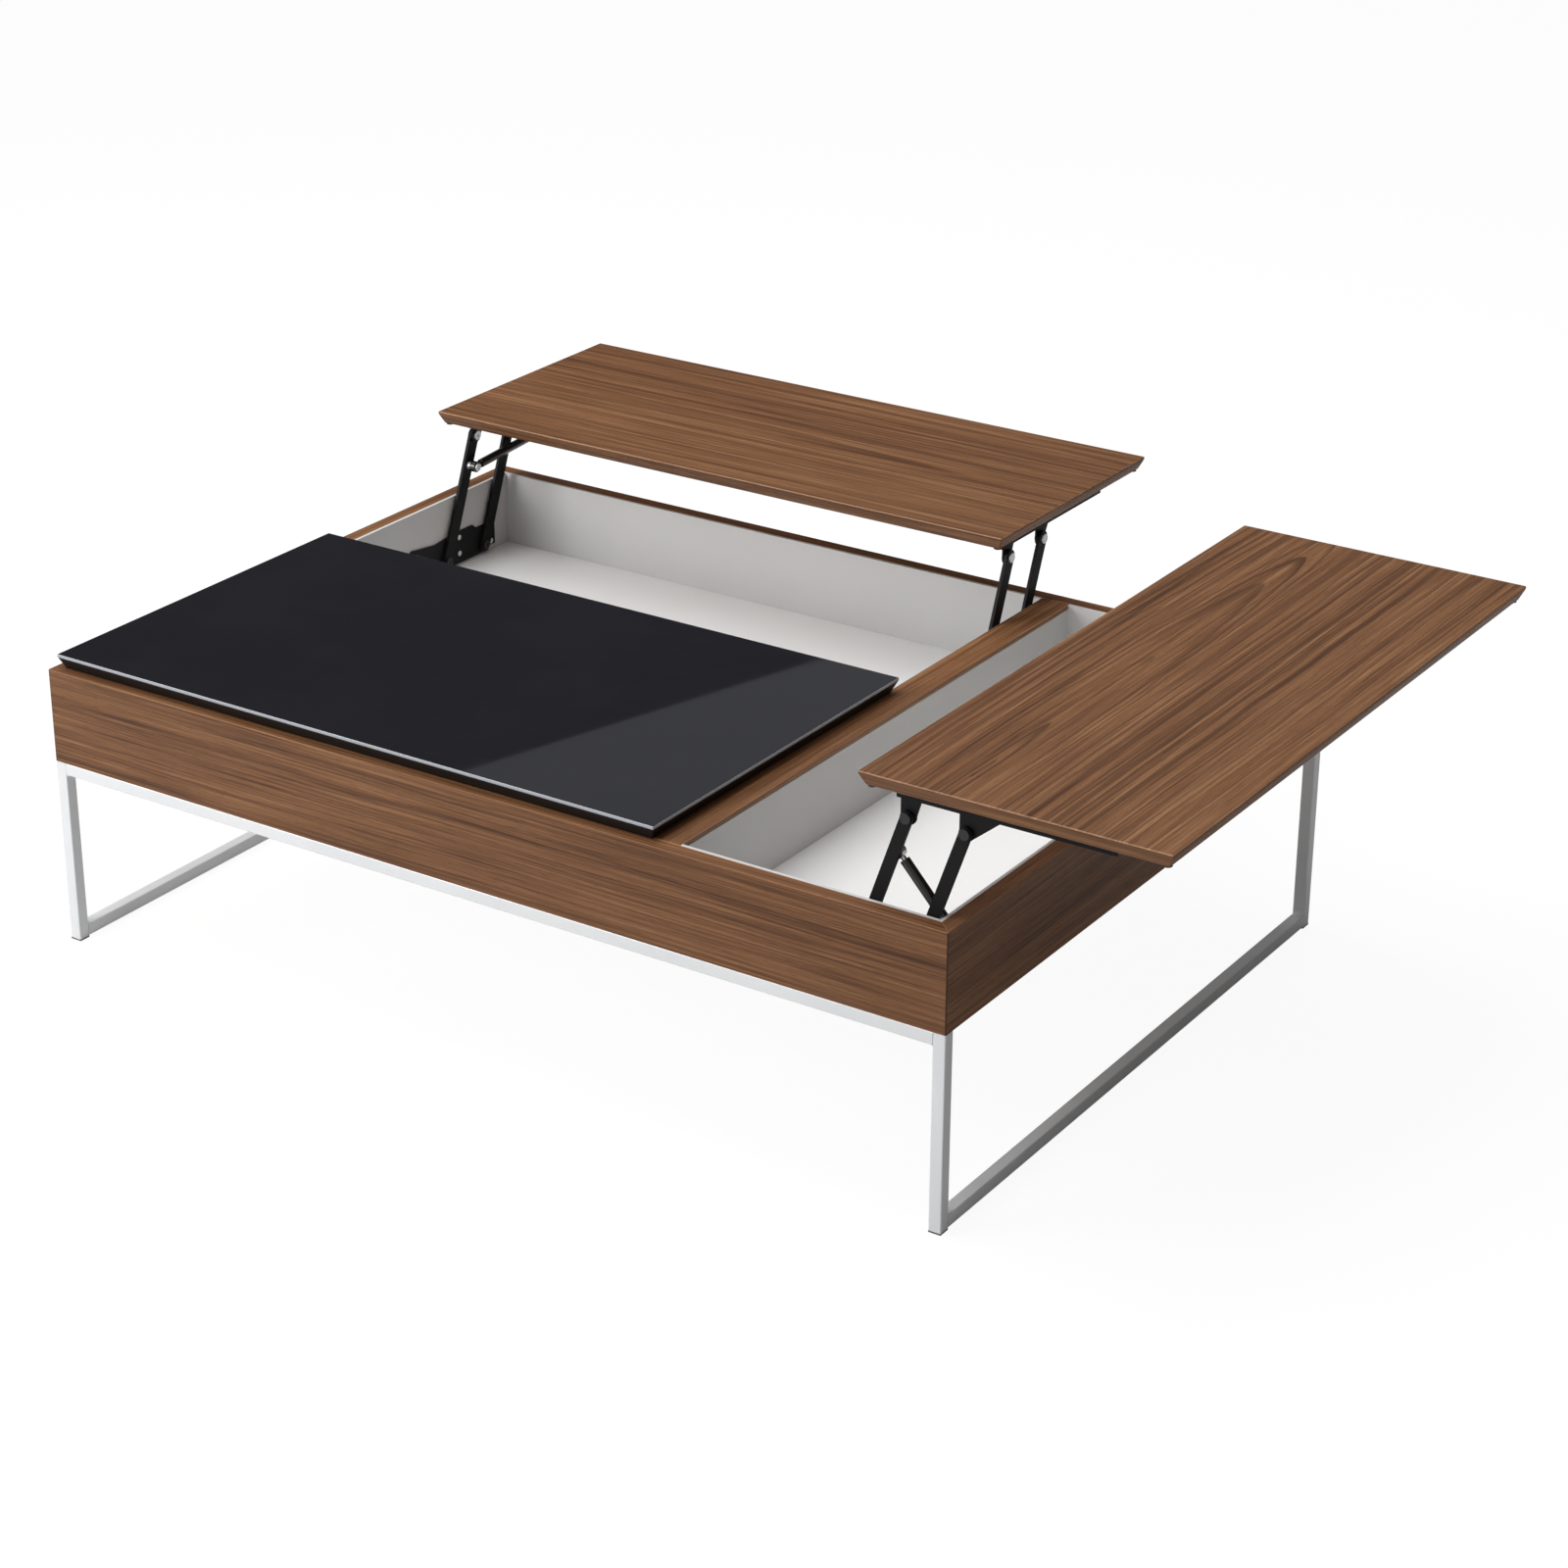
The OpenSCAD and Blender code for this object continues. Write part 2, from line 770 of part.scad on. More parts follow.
module bottom_cleats() {
    color(birch)
        table_frame() {
            for (y = [panel_t, case_d - panel_t - cleat_w])
                block(panel_t, case_w - panel_t, y, y + cleat_w, base_h, floor_z0);
            for (x = [panel_t, (divider_x0 + divider_x1 - cleat_w) / 2, case_w - panel_t - cleat_w])
                block(x, x + cleat_w, panel_t + cleat_w + cleat_gap, case_d - panel_t - cleat_w - cleat_gap,
                      base_h, floor_z0);
        }
}

module cross_rail() {
    color(lining)
        table_frame()
            difference() {
                block(wall_t, divider_x0, cross_rail_y0, cross_rail_y0 + cross_rail_t,
                      rim_z - cross_rail_h, rim_z);
                for (x = fixed_top_screw_x())
                    fixed_top_screw_hole(x, rail_screw_y, cross_rail_h);
            }
}

// ---------- fixed top ----------

top_screw_shares = [0.15, 0.5, 0.85];
function fixed_top_screw_x() = [for (k = top_screw_shares) edge_gap + (left_x1 - edge_gap) * k];
batten_w = 20;
batten_screw_y = wall_t + batten_w / 2;
rail_screw_in = 6;     // from the cross rail's front face to its screws
rail_screw_y = cross_rail_y0 + rail_screw_in;
screw_seat = 10;       // wood left between a sunk screw head and the top
fixed_bite = fixed_top_z - glass_t - rim_z - screw_cover;

// Hole through a batten of height h, wide enough below the seat for the head.
module fixed_top_screw_hole(x, y, h) {
    translate([x, y, rim_z - h - eps]) {
        cylinder(h = h + 2 * eps, d = screw_d + 2 * screw_clear);
        cylinder(h = h - screw_seat + eps, d = screw_head_d + 2 * screw_clear);
    }
}

module fixed_top_board() {
    color(gloss_black)
        table_frame()
            difference() {
                bevelled_board(edge_gap + glass_lip, left_x1 - glass_lip, edge_gap + glass_lip,
                               fixed_y1 - glass_lip, rim_z, fixed_top_z - glass_t, glass_lip, top_undercut);
                for (x = fixed_top_screw_x(), y = [batten_screw_y, rail_screw_y])
                    translate([x, y, rim_z - eps])
                        cylinder(h = fixed_bite + 2 * eps, d = screw_d + 2 * screw_clear);
            }
}

module fixed_top_glass() {
    color(gloss_black)
        table_frame()
            block(edge_gap, left_x1, edge_gap, fixed_y1, fixed_top_z - glass_t, fixed_top_z);
}

module fixed_top_batten() {
    color(birch)
        table_frame()
            difference() {
                block(wall_t, divider_x0, wall_t, wall_t + batten_w, rim_z - batten_w, rim_z);
                for (x = fixed_top_screw_x())
                    fixed_top_screw_hole(x, batten_screw_y, batten_w);
            }
}

module fixed_top_screws() {
    color(zinc)
        table_frame()
            for (x = fixed_top_screw_x(), y = [batten_screw_y, rail_screw_y])
                translate([x, y, rim_z - screw_seat]) {
                    translate([0, 0, -round_head_t])
                        cylinder(h = round_head_t, d = screw_head_d);
                    cylinder(h = screw_seat + fixed_bite, d = screw_d);
                }
}

// ---------- frame ----------

function frame_screw_x() = let (step = (case_w - 2 * tube - 2 * rail_screw_inset) / max(rail_screws - 1, 1))
    [for (k = [0:rail_screws - 1]) tube + rail_screw_inset + step * k];
frame_screw_up = 20;   // how far a frame screw goes into the case board
access_d = 10;         // hole in the lower wall of a rail for the driver

module frame_screw_pilots(y) {
    for (x = frame_screw_x())
        translate([x, y, base_h - eps])
            cylinder(h = frame_screw_up + screw_tip, d = screw_d + 2 * screw_clear);
}

module top_rail_tube(y0) {
    color(silver)
        table_frame()
            difference() {
                translate([tube, y0, base_h - tube])
                    square_tube([case_w - 2 * tube, tube, tube], 0);
                for (x = frame_screw_x())
                    translate([x, y0 + tube / 2, base_h - tube - eps]) {
                        cylinder(h = tube + 2 * eps, d = screw_d + 2 * screw_clear);
                        cylinder(h = tube_wall + 2 * eps, d = access_d);
                    }
            }
}

module front_rail() {
    top_rail_tube(0);
}

module back_rail() {
    top_rail_tube(case_d - tube);
}

module leg(x0, y0) {
    color(silver)
        table_frame()
            translate([x0, y0, glide_t])
                square_tube([tube, tube, base_h - glide_t], 2);
}

module front_left_leg() {
    leg(0, 0);
}

module front_right_leg() {
    leg(case_w - tube, 0);
}

module back_left_leg() {
    leg(0, case_d - tube);
}

module back_right_leg() {
    leg(case_w - tube, case_d - tube);
}

module runner(x0) {
    color(silver)
        table_frame()
            translate([x0, tube, glide_t])
                square_tube([tube, case_d - 2 * tube, tube], 1);
}

module left_runner() {
    runner(0);
}

module right_runner() {
    runner(case_w - tube);
}

module floor_glides() {
    plug = tube - 2 * tube_wall - 2 * pin_clear;
    color(rubber)
        table_frame()
            for (x = [0, case_w - tube], y = [0, case_d - tube])
                translate([x, y, 0]) {
                    cube([tube, tube, glide_t]);
                    translate([(tube - plug) / 2, (tube - plug) / 2, glide_t - eps])
                        cube([plug, plug, glide_plug_h]);
                }
}

module frame_screws() {
    color(zinc)
        table_frame()
            for (x = frame_screw_x(), y = [tube / 2, case_d - tube / 2])
                translate([x, y, base_h - tube_wall]) {
                    translate([0, 0, -round_head_t])
                        cylinder(h = round_head_t, d = screw_head_d);
                    cylinder(h = tube_wall + frame_screw_up, d = screw_d);
                }
}

// ---------- fixed halves of the lifts ----------

module rear_base_plates() {
    color(steel_black)
        table_frame()
            rear_sides()
                base_plate([rear_base_u, base_pivot_z], rear_spacing, rear_ear_reach);
}

module right_base_plates() {
    color(steel_black)
        table_frame()
            right_sides()
                base_plate([right_base_u, base_pivot_z], right_spacing, right_ear_reach);
}

module rear_base_pins() {
    color(zinc)
        table_frame()
            rear_sides()
                for (u = [0, rear_spacing])
                    base_pin([rear_base_u + u, base_pivot_z]);
}

module right_base_pins() {
    color(zinc)
        table_frame()
            right_sides()
                for (u = [0, right_spacing])
                    base_pin([right_base_u + u, base_pivot_z]);
}

module plate_screws() {
    color(zinc)
        table_frame() {
            rear_sides()
                base_plate_screws([rear_base_u, base_pivot_z], rear_spacing, rear_ear_reach);
            right_sides()
                base_plate_screws([right_base_u, base_pivot_z], right_spacing, right_ear_reach);
        }
}

// ---------- rear lift ----------

module rear_arm_pair(u) {
    color(steel_black)
        table_frame()
            rear_sides()
                arm([rear_base_u + u, base_pivot_z], [rear_pivot_u + u, rear_pivot_z],
                    rear_arm_w);
}

module rear_front_arms() {
    rear_arm_pair(0);
}

module rear_back_arms() {
    rear_arm_pair(rear_spacing);
}

// Shouldered stud with a flat head, welded to the inner face of the left front arm.
module rear_strut_stud() {
    color(zinc)
        table_frame()
            rear_left_side() {
                cross_bar(rear_stud, stud_d / 2, arm_v1, strut_v1 + side_clear + eps);
                cross_bar(rear_stud, stud_d / 2 + stud_lip, arm_v1, strut_v0 - side_clear);
                cross_bar(rear_stud, stud_d / 2 + stud_lip, strut_v1 + side_clear,
                          strut_v1 + side_clear + stud_head_t);
            }
}

module rear_strut_cylinder() {
    color(steel_black)
        table_frame()
            rear_left_side()
                along(rear_stud, rear_far)
                    difference() {
                        union() {
                            barrel(eye_r + strut_neck, rear_mouth);
                            cross_bar([0, 0], eye_r, strut_v0, strut_v1);
                            long_bar(rod_d / 2, eye_r - eye_bite, eye_r + strut_neck + eps);
                        }
                        cross_bar([0, 0], stud_d / 2 + pin_clear, strut_v0 - eps, strut_v1 + eps);
                    }
}

module rear_strut_rod() {
    color(zinc)
        table_frame()
            rear_left_side()
                along(rear_stud, rear_far) {
                    rod(rear_mouth, rear_strut_l);
                    cross_bar([rear_strut_l, 0], stud_d / 2, strut_v1 - eps, strut_v1 + eye_boss);
                }
}

// Angle bracket for the strut's far end; the ear hangs beside the strut.
module rear_strut_bracket() {
    ear_v = strut_v1 + eye_boss + side_clear;
    color(steel_black)
        table_frame()
            rear_left_side() {
                translate([ear_v, rear_far[0] - bracket_reach, rear_top_z - plate_t])
                    cube([bracket_w, 2 * bracket_reach, plate_t]);
                flat_plate([
                    [rear_far[0] - bracket_reach, rear_top_z], [rear_far[0] - eye_r, rear_far[1]],
                    [rear_far[0] + eye_r, rear_far[1]], [rear_far[0] + bracket_reach, rear_top_z]
                ], ear_v, plate_t);
                cross_bar(rear_far, eye_r, ear_v, ear_v + plate_t);
                cross_bar(rear_far, stud_d / 2 + stud_lip, ear_v + plate_t,
                          ear_v + plate_t + stud_head_t);
            }
}

module rear_top_board() {
    color(walnut)
        table_frame()
            difference() {
                bevelled_board(edge_gap, left_x1,
                               rear_y0 + rear_shift, rear_y0 + rear_top_d + rear_shift,
                               rear_top_z, rear_top_z + top_t, top_nose, top_undercut);
                rear_sides()
                    rail_pilots(rear_pivot_u, rear_top_z, rear_rail_l);
            }
}

module rear_top_rails() {
    color(steel_black)
        table_frame()
            rear_sides()
                top_rail([rear_pivot_u, rear_pivot_z], rear_spacing, rear_top_z, rear_rail_l,
                         rear_lug_heel);
}

module rear_top_pins() {
    color(zinc)
        table_frame()
            rear_sides()
                for (u = [0, rear_spacing])
                    top_pin([rear_pivot_u + u, rear_pivot_z]);
}

module rear_top_screws() {
    color(zinc)
        table_frame()
            rear_sides()
                rail_screw_set(rear_pivot_u, rear_top_z, rear_rail_l);
}

module rear_top_bumpers() {
    color(rubber)
        table_frame()
            translate([0, rear_shift, 0])
                bumpers(edge_gap, left_x1, rear_y0, rear_y0 + rear_top_d, rear_top_z);
}

// ---------- right lift ----------

module right_arm_pair(u) {
    color(steel_black)
        table_frame()
            right_sides()
                arm([right_base_u + u, base_pivot_z], [right_pivot_u + u, right_pivot_z],
                    right_arm_w);
}

module right_inner_arms() {
    right_arm_pair(0);
}

module right_outer_arms() {
    right_arm_pair(right_spacing);
}

// The strut's cylinder hangs on a short stud by a lug on its side.
lug_bore_v = strut_v - barrel_d / 2 - stud_floor;

module right_strut_stud() {
    color(zinc)
        table_frame()
            right_front_side()
                cross_bar(right_low, stud_d / 2, arm_v1, lug_bore_v - stud_air);
}

module right_strut_cylinder() {
    color(steel_black)
        table_frame()
            right_front_side()
                along(right_low, right_high)
                    difference() {
                        union() {
                            barrel(-eye_r - barrel_tail, right_strut_l - eye_r - rod_show);
                            cross_bar([0, 0], eye_r, rail_v, strut_v - barrel_d / 2 + lug_bite);
                        }
                        cross_bar([0, 0], stud_d / 2 + pin_clear, rail_v - eps, lug_bore_v);
                    }
}

module right_strut_rod() {
    color(zinc)
        table_frame()
            right_front_side()
                along(right_low, right_high) {
                    rod(2 * right_strut_l - right_strut_long - eye_r - rod_show, right_strut_l);
                    cross_bar([right_strut_l, 0], stud_d / 2, rail_v, strut_v0 + eps);
                }
}

module right_top_board() {
    color(walnut)
        table_frame()
            difference() {
                bevelled_board(right_x0 + right_shift, case_w - edge_gap + right_shift,
                               edge_gap, case_d - edge_gap,
                               right_top_z, right_top_z + top_t, top_nose, top_undercut);
                right_sides()
                    rail_pilots(right_pivot_u, right_top_z, right_rail_l);
            }
}

module right_top_rails() {
    color(steel_black)
        table_frame()
            right_sides()
                top_rail([right_pivot_u, right_pivot_z], right_spacing, right_top_z, right_rail_l,
                         right_lug_heel);
}

module right_top_pins() {
    color(zinc)
        table_frame()
            right_sides()
                for (u = [0, right_spacing])
                    top_pin([right_pivot_u + u, right_pivot_z]);
}

module right_top_screws() {
    color(zinc)
        table_frame()
            right_sides()
                rail_screw_set(right_pivot_u, right_top_z, right_rail_l);
}

module right_top_bumpers() {
    color(rubber)
        table_frame()
            translate([right_shift, 0, 0])
                bumpers(right_x0, case_w - edge_gap, edge_gap, case_d - edge_gap, right_top_z);
}

front_panel();
back_panel();
left_panel();
right_panel();
bay_liner_front();
bay_liner_left();
bay_liner_back();
box_liner_front();
box_liner_right();
box_liner_back();
divider_left_board();
divider_right_board();
divider_cap();
bottom_panel();
bottom_cleats();
cross_rail();
corner_splines();
fixed_top_board();
fixed_top_glass();
fixed_top_batten();
fixed_top_screws();
front_rail();
back_rail();
front_left_leg();
front_right_leg();
back_left_leg();
back_right_leg();
left_runner();
right_runner();
floor_glides();
frame_screws();
rear_base_plates();
right_base_plates();
rear_base_pins();
right_base_pins();
plate_screws();
rear_front_arms();
rear_strut_stud();
rear_back_arms();
rear_top_board();
rear_top_rails();
rear_top_pins();
rear_top_screws();
rear_top_bumpers();
rear_strut_bracket();
rear_strut_cylinder();
rear_strut_rod();
right_inner_arms();
right_outer_arms();
right_strut_stud();
right_top_board();
right_top_rails();
right_top_pins();
right_top_screws();
right_top_bumpers();
right_strut_cylinder();
right_strut_rod();
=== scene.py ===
import json
import math

import bmesh
import bpy
from bpy.props import FloatProperty, FloatVectorProperty, IntProperty, PointerProperty
from mathutils import Euler, Matrix, Vector


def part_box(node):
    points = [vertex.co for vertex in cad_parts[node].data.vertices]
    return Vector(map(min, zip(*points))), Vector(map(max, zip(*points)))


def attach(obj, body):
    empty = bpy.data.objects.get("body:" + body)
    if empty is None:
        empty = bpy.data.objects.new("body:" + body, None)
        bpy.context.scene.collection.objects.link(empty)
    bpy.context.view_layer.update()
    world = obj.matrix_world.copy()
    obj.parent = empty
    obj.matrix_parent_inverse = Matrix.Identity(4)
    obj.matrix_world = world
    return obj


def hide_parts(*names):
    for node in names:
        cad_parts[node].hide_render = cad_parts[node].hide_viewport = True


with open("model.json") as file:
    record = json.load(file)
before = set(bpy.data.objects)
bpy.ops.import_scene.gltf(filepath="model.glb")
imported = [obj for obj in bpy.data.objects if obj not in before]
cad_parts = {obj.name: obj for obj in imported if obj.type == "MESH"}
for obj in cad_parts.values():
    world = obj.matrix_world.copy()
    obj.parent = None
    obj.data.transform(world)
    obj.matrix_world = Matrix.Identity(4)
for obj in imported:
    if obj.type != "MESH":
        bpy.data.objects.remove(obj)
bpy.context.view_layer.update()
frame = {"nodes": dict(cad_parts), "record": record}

bl_info = {
    "name": "Lift Top Coffee Table",
    "version": (1, 0, 0),
    "blender": (4, 5, 0),
    "location": "View3D > Sidebar > Coffee Table",
    "description": "Builds the finished surfaces of a lift top coffee table round its working frame",
    "category": "Add Mesh",
}

NODES = frame["nodes"]
BODIES = frame["record"]["behaviour"]["bodies"]
BODY_OF = {node: body for body, members in BODIES.items() for node in members}

ALONG_X = (0.0, 0.0, 0.0)
ALONG_Y = (0.0, 0.0, -90.0)
UPRIGHT_X = (-90.0, 0.0, 0.0)
UPRIGHT_Y = (-90.0, -90.0, 0.0)


# ---------- sizes and colours a user would change ----------


def colour(name, about, default):
    return FloatVectorProperty(name=name, description=about, default=default, subtype="COLOR", min=0, max=1)


def length(name, about, default):
    return FloatProperty(name=name, description=about, default=default, unit="LENGTH", subtype="DISTANCE")


class WalnutSettings(bpy.types.PropertyGroup):
    light: colour("Light wood", "Palest streaks of the walnut", (0.300, 0.152, 0.070))
    middle: colour("Middle wood", "Main tone of the walnut", (0.190, 0.083, 0.034))
    dark: colour("Dark wood", "Growth lines and dark streaks", (0.062, 0.023, 0.009))
    arris: length("Arris radius", "Rounding of the veneered boards' edges", 0.0009)
    joint: length("Joint radius", "Rounding of the boards' mitred corners", 0.0012)
    nose: length("Nose radius", "Rounding of the lifting tops' edges", 0.0020)
    # Paler walnut laid on the rounded edges as a painted highlight.
    edge: colour("Highlight edge", "Painted highlight as paler veneer on the rounded edges", (0.46, 0.27, 0.14))


class FinishSettings(bpy.types.PropertyGroup):
    # The walls and the floor board are one melamine: the walls take a darker tone as painted shade, the floor a
    # paler one as painted light.
    lining: colour("Lining", "Pale melamine inside the case", (0.58, 0.572, 0.562))
    lit_floor_lining: colour("Lit lined floor", "Painted light as a paler copy of the lining on the floor board", (0.90, 0.90, 0.895))
    glass: colour("Black glass", "Back-painted glass of the fixed top", (0.010, 0.0095, 0.013))
    # The pale grey of the glass edge is partly the ground edge's own tone and partly a painted highlight.
    glass_edge: colour("Glass edge", "Ground edge of the glass with a painted highlight", (0.34, 0.36, 0.39))
    steel: colour("Black steel", "Powder-coated lift mechanism", (0.0065, 0.0065, 0.007))
    silver: colour("Silver frame", "Lacquered tube of the base", (0.73, 0.74, 0.75))
    zinc: colour("Zinc", "Plated bolts and screws", (0.86, 0.87, 0.88))
    dark_zinc: colour("Dark zinc", "Blackened pins at the base plates and the right top", (0.035, 0.035, 0.037))
    rubber: colour("Rubber", "Cushions and floor glides", (0.035, 0.035, 0.037))
    birch: colour("Birch", "Hidden battens and splines", (0.52, 0.38, 0.22))


class EdgeSettings(bpy.types.PropertyGroup):
    tube: length("Tube corner", "Outside corner radius of the square tube", 0.0014)
    steel: length("Steel edge", "Rounding of stamped steel edges", 0.0004)
    board: length("Board edge", "Rounding of the lining boards", 0.0004)
    weld: length("Weld radius", "Radius of the weld in the frame's inside corners", 0.004)
    segments: IntProperty(name="Edge segments", description="Facets across a rounded edge", default=3, min=1)


class StageSettings(bpy.types.PropertyGroup):
    azimuth: FloatProperty(
        name="Azimuth", description="Way the camera looks", default=math.radians(33.324), subtype="ANGLE"
    )
    elevation: FloatProperty(
        name="Elevation", description="Camera above the horizon", default=math.radians(24.381), subtype="ANGLE"
    )
    roll: FloatProperty(
        name="Roll", description="Turn of the camera about its own axis", default=math.radians(-0.253),
        subtype="ANGLE",
    )
    distance: length("Distance", "Camera to the point it looks at", 4.0325)
    aim: FloatVectorProperty(
        name="Aim", description="Point the camera looks at", default=(0.0414, -0.1528, 0.25),
        subtype="TRANSLATION", unit="LENGTH",
    )
    lens: FloatProperty(name="Lens", description="Focal length in millimetres", default=82.061, min=1)
    floor: colour("Floor", "Plain floor and backdrop", (0.64, 0.64, 0.64))


class TableSettings(bpy.types.PropertyGroup):
    walnut: PointerProperty(type=WalnutSettings)
    finish: PointerProperty(type=FinishSettings)
    edges: PointerProperty(type=EdgeSettings)
    stage: PointerProperty(type=StageSettings)


def settings():
    return bpy.context.scene.coffee_table


# ---------- shader helpers ----------


def add_node(tree, kind, values=None, **choices):
    """A shader node; its inputs are set to values, or linked where the value is a socket."""
    made = tree.nodes.new(kind)
    for key, choice in choices.items():
        setattr(made, key, choice)
    for key, value in (values or {}).items():
        if isinstance(value, bpy.types.NodeSocket):
            tree.links.new(value, made.inputs[key])
        else:
            made.inputs[key].default_value = value
    return made


def maths(tree, operation, *values):
    return add_node(tree, "ShaderNodeMath", dict(enumerate(values)), operation=operation).outputs[0]


def ramp(tree, value, low, high, to_low=0.0, to_high=1.0):
    """Smooth step of a value from one range to another."""
    values = {"Value": value, "From Min": low, "From Max": high, "To Min": to_low, "To Max": to_high}
    return add_node(tree, "ShaderNodeMapRange", values, interpolation_type="SMOOTHSTEP").outputs["Result"]


def noise(tree, vector, stretch, detail=2.0, roughness=0.5):
    """Noise whose size differs along X, Y and Z; stretch is in cells per metre."""
    scaled = add_node(tree, "ShaderNodeVectorMath", {0: vector, 1: stretch}, operation="MULTIPLY")
    values = {"Vector": scaled.outputs[0], "Scale": 1.0, "Detail": detail, "Roughness": roughness}
    return add_node(tree, "ShaderNodeTexNoise", values).outputs["Fac"]


def blend(tree, amount, first, second):
    mixed = add_node(tree, "ShaderNodeMix", {"Factor": amount}, data_type="RGBA")
    for index, value in ((6, first), (7, second)):
        if isinstance(value, bpy.types.NodeSocket):
            tree.links.new(value, mixed.inputs[index])
        else:
            mixed.inputs[index].default_value = value
    return mixed.outputs[2]


def new_group(name, inputs, outputs):
    group = bpy.data.node_groups.new(name, "ShaderNodeTree")
    for label, kind, default in inputs:
        socket = group.interface.new_socket(label, in_out="INPUT", socket_type=kind)
        socket.default_value = default
    for label, kind in outputs:
        group.interface.new_socket(label, in_out="OUTPUT", socket_type=kind)
    return group, group.nodes.new("NodeGroupInput").outputs, group.nodes.new("NodeGroupOutput").inputs


def opaque(tone):
    return (*tone, 1.0)


def wood_figure_group():
    """Flat-sawn figure: arches of growth lines that close round a centre, streaks, fibres and pores.
    X runs along the grain."""
    group, given, out = new_group(
        "Wood Figure",
        [
            ("Vector", "NodeSocketVector", (0, 0, 0)),
            ("Centre", "NodeSocketVector", (0, 0, 0)),
            ("Taper", "NodeSocketFloat", 0.05),
            ("Line Spacing", "NodeSocketFloat", 0.008),
            ("Wander", "NodeSocketFloat", 0.01),
            ("Line Strength", "NodeSocketFloat", 0.6),
            ("Light", "NodeSocketColor", (0.3, 0.15, 0.08, 1)),
            ("Middle", "NodeSocketColor", (0.2, 0.09, 0.04, 1)),
            ("Dark", "NodeSocketColor", (0.07, 0.03, 0.014, 1)),
        ],
        [("Color", "NodeSocketColor"), ("Height", "NodeSocketFloat"), ("Gloss", "NodeSocketFloat")],
    )
    vector = given["Vector"]
    offset = add_node(group, "ShaderNodeVectorMath", {0: vector, 1: given["Centre"]}, operation="SUBTRACT")
    place = add_node(group, "ShaderNodeSeparateXYZ", {0: offset.outputs[0]}).outputs
    drift = maths(group, "SUBTRACT", noise(group, vector, (1.4, 5.0, 5.0), 2.0), 0.5)
    ripple = maths(group, "SUBTRACT", noise(group, vector, (9.0, 26.0, 26.0), 2.0), 0.5)
    bend = maths(group, "MULTIPLY_ADD", ripple, 0.16, drift)
    across = maths(group, "MULTIPLY_ADD", bend, maths(group, "MULTIPLY", given["Wander"], 2.0), place["Y"])
    depth = maths(group, "MULTIPLY", place["X"], given["Taper"])
    square = maths(group, "MULTIPLY_ADD", across, across, maths(group, "MULTIPLY", depth, depth))
    radius = maths(group, "SQRT", square)
    # Growth is uneven, so rings crowd and spread.
    growth_values = {"W": radius, "Scale": 34.0, "Detail": 2.0}
    growth = add_node(group, "ShaderNodeTexNoise", growth_values, noise_dimensions="1D")
    even_count = maths(group, "DIVIDE", radius, given["Line Spacing"])
    count = maths(group, "MULTIPLY_ADD", growth.outputs["Fac"], 5.0, even_count)
    phase = maths(group, "FRACT", count)
    number = maths(group, "FLOOR", count)
    ring = add_node(group, "ShaderNodeTexWhiteNoise", {"W": number}, noise_dimensions="1D")
    line = maths(group, "MULTIPLY", ramp(group, phase, 0.4, 0.92), ramp(group, phase, 0.92, 1.0, 1.0, 0.0))
    line = maths(group, "MULTIPLY", line, maths(group, "MULTIPLY_ADD", ring.outputs["Value"], 0.6, 0.4))
    patch = ramp(group, noise(group, vector, (2.0, 11.0, 11.0), 2.0), 0.35, 0.65, 0.7, 1.0)
    line = maths(group, "MULTIPLY", line, patch)
    bands = noise(group, vector, (0.55, 12.0, 12.0), 3.0)
    streaks = noise(group, vector, (1.8, 85.0, 85.0), 4.0, 0.6)
    fibres = noise(group, vector, (6.0, 420.0, 420.0), 3.0, 0.65)
    tone = maths(group, "MULTIPLY", bands, 0.18)
    tone = maths(group, "MULTIPLY_ADD", streaks, 0.36, tone)
    tone = maths(group, "MULTIPLY_ADD", fibres, 0.46, tone)
    wood = blend(group, ramp(group, tone, 0.34, 0.52), given["Dark"], given["Middle"])
    wood = blend(group, ramp(group, tone, 0.49, 0.64), wood, given["Light"])
    wood = blend(group, maths(group, "MULTIPLY", line, given["Line Strength"]), wood, given["Dark"])
    pores = ramp(group, noise(group, vector, (60.0, 1500.0, 1500.0), 1.0), 0.60, 0.72)
    wood = blend(group, maths(group, "MULTIPLY", pores, 0.45), wood, given["Dark"])
    relief = maths(group, "MULTIPLY_ADD", pores, -0.8, fibres)
    relief = maths(group, "MULTIPLY_ADD", line, -0.2, relief)
    group.links.new(wood, out["Color"])
    group.links.new(relief, out["Height"])
    fibre_gloss = maths(group, "MULTIPLY", fibres, 0.10)
    group.links.new(maths(group, "MULTIPLY_ADD", pores, 0.18, fibre_gloss), out["Gloss"])
    return group


def handling_group():
    """Faint smudges and dust that vary the roughness of a finished surface."""
    group, given, out = new_group(
        "Handling Marks",
        [("Vector", "NodeSocketVector", (0, 0, 0)), ("Roughness", "NodeSocketFloat", 0.4),
         ("Marks", "NodeSocketFloat", 0.06)],
        [("Roughness", "NodeSocketFloat"), ("Mask", "NodeSocketFloat")],
    )
    smudge = ramp(group, noise(group, given["Vector"], (7.0, 7.0, 7.0), 4.0, 0.6), 0.35, 0.7)
    grit = noise(group, given["Vector"], (180.0, 180.0, 180.0), 2.0)
    mask = maths(group, "MULTIPLY_ADD", grit, 0.3, maths(group, "MULTIPLY", smudge, 0.7))
    group.links.new(maths(group, "MULTIPLY_ADD", mask, given["Marks"], given["Roughness"]), out["Roughness"])
    group.links.new(mask, out["Mask"])
    return group


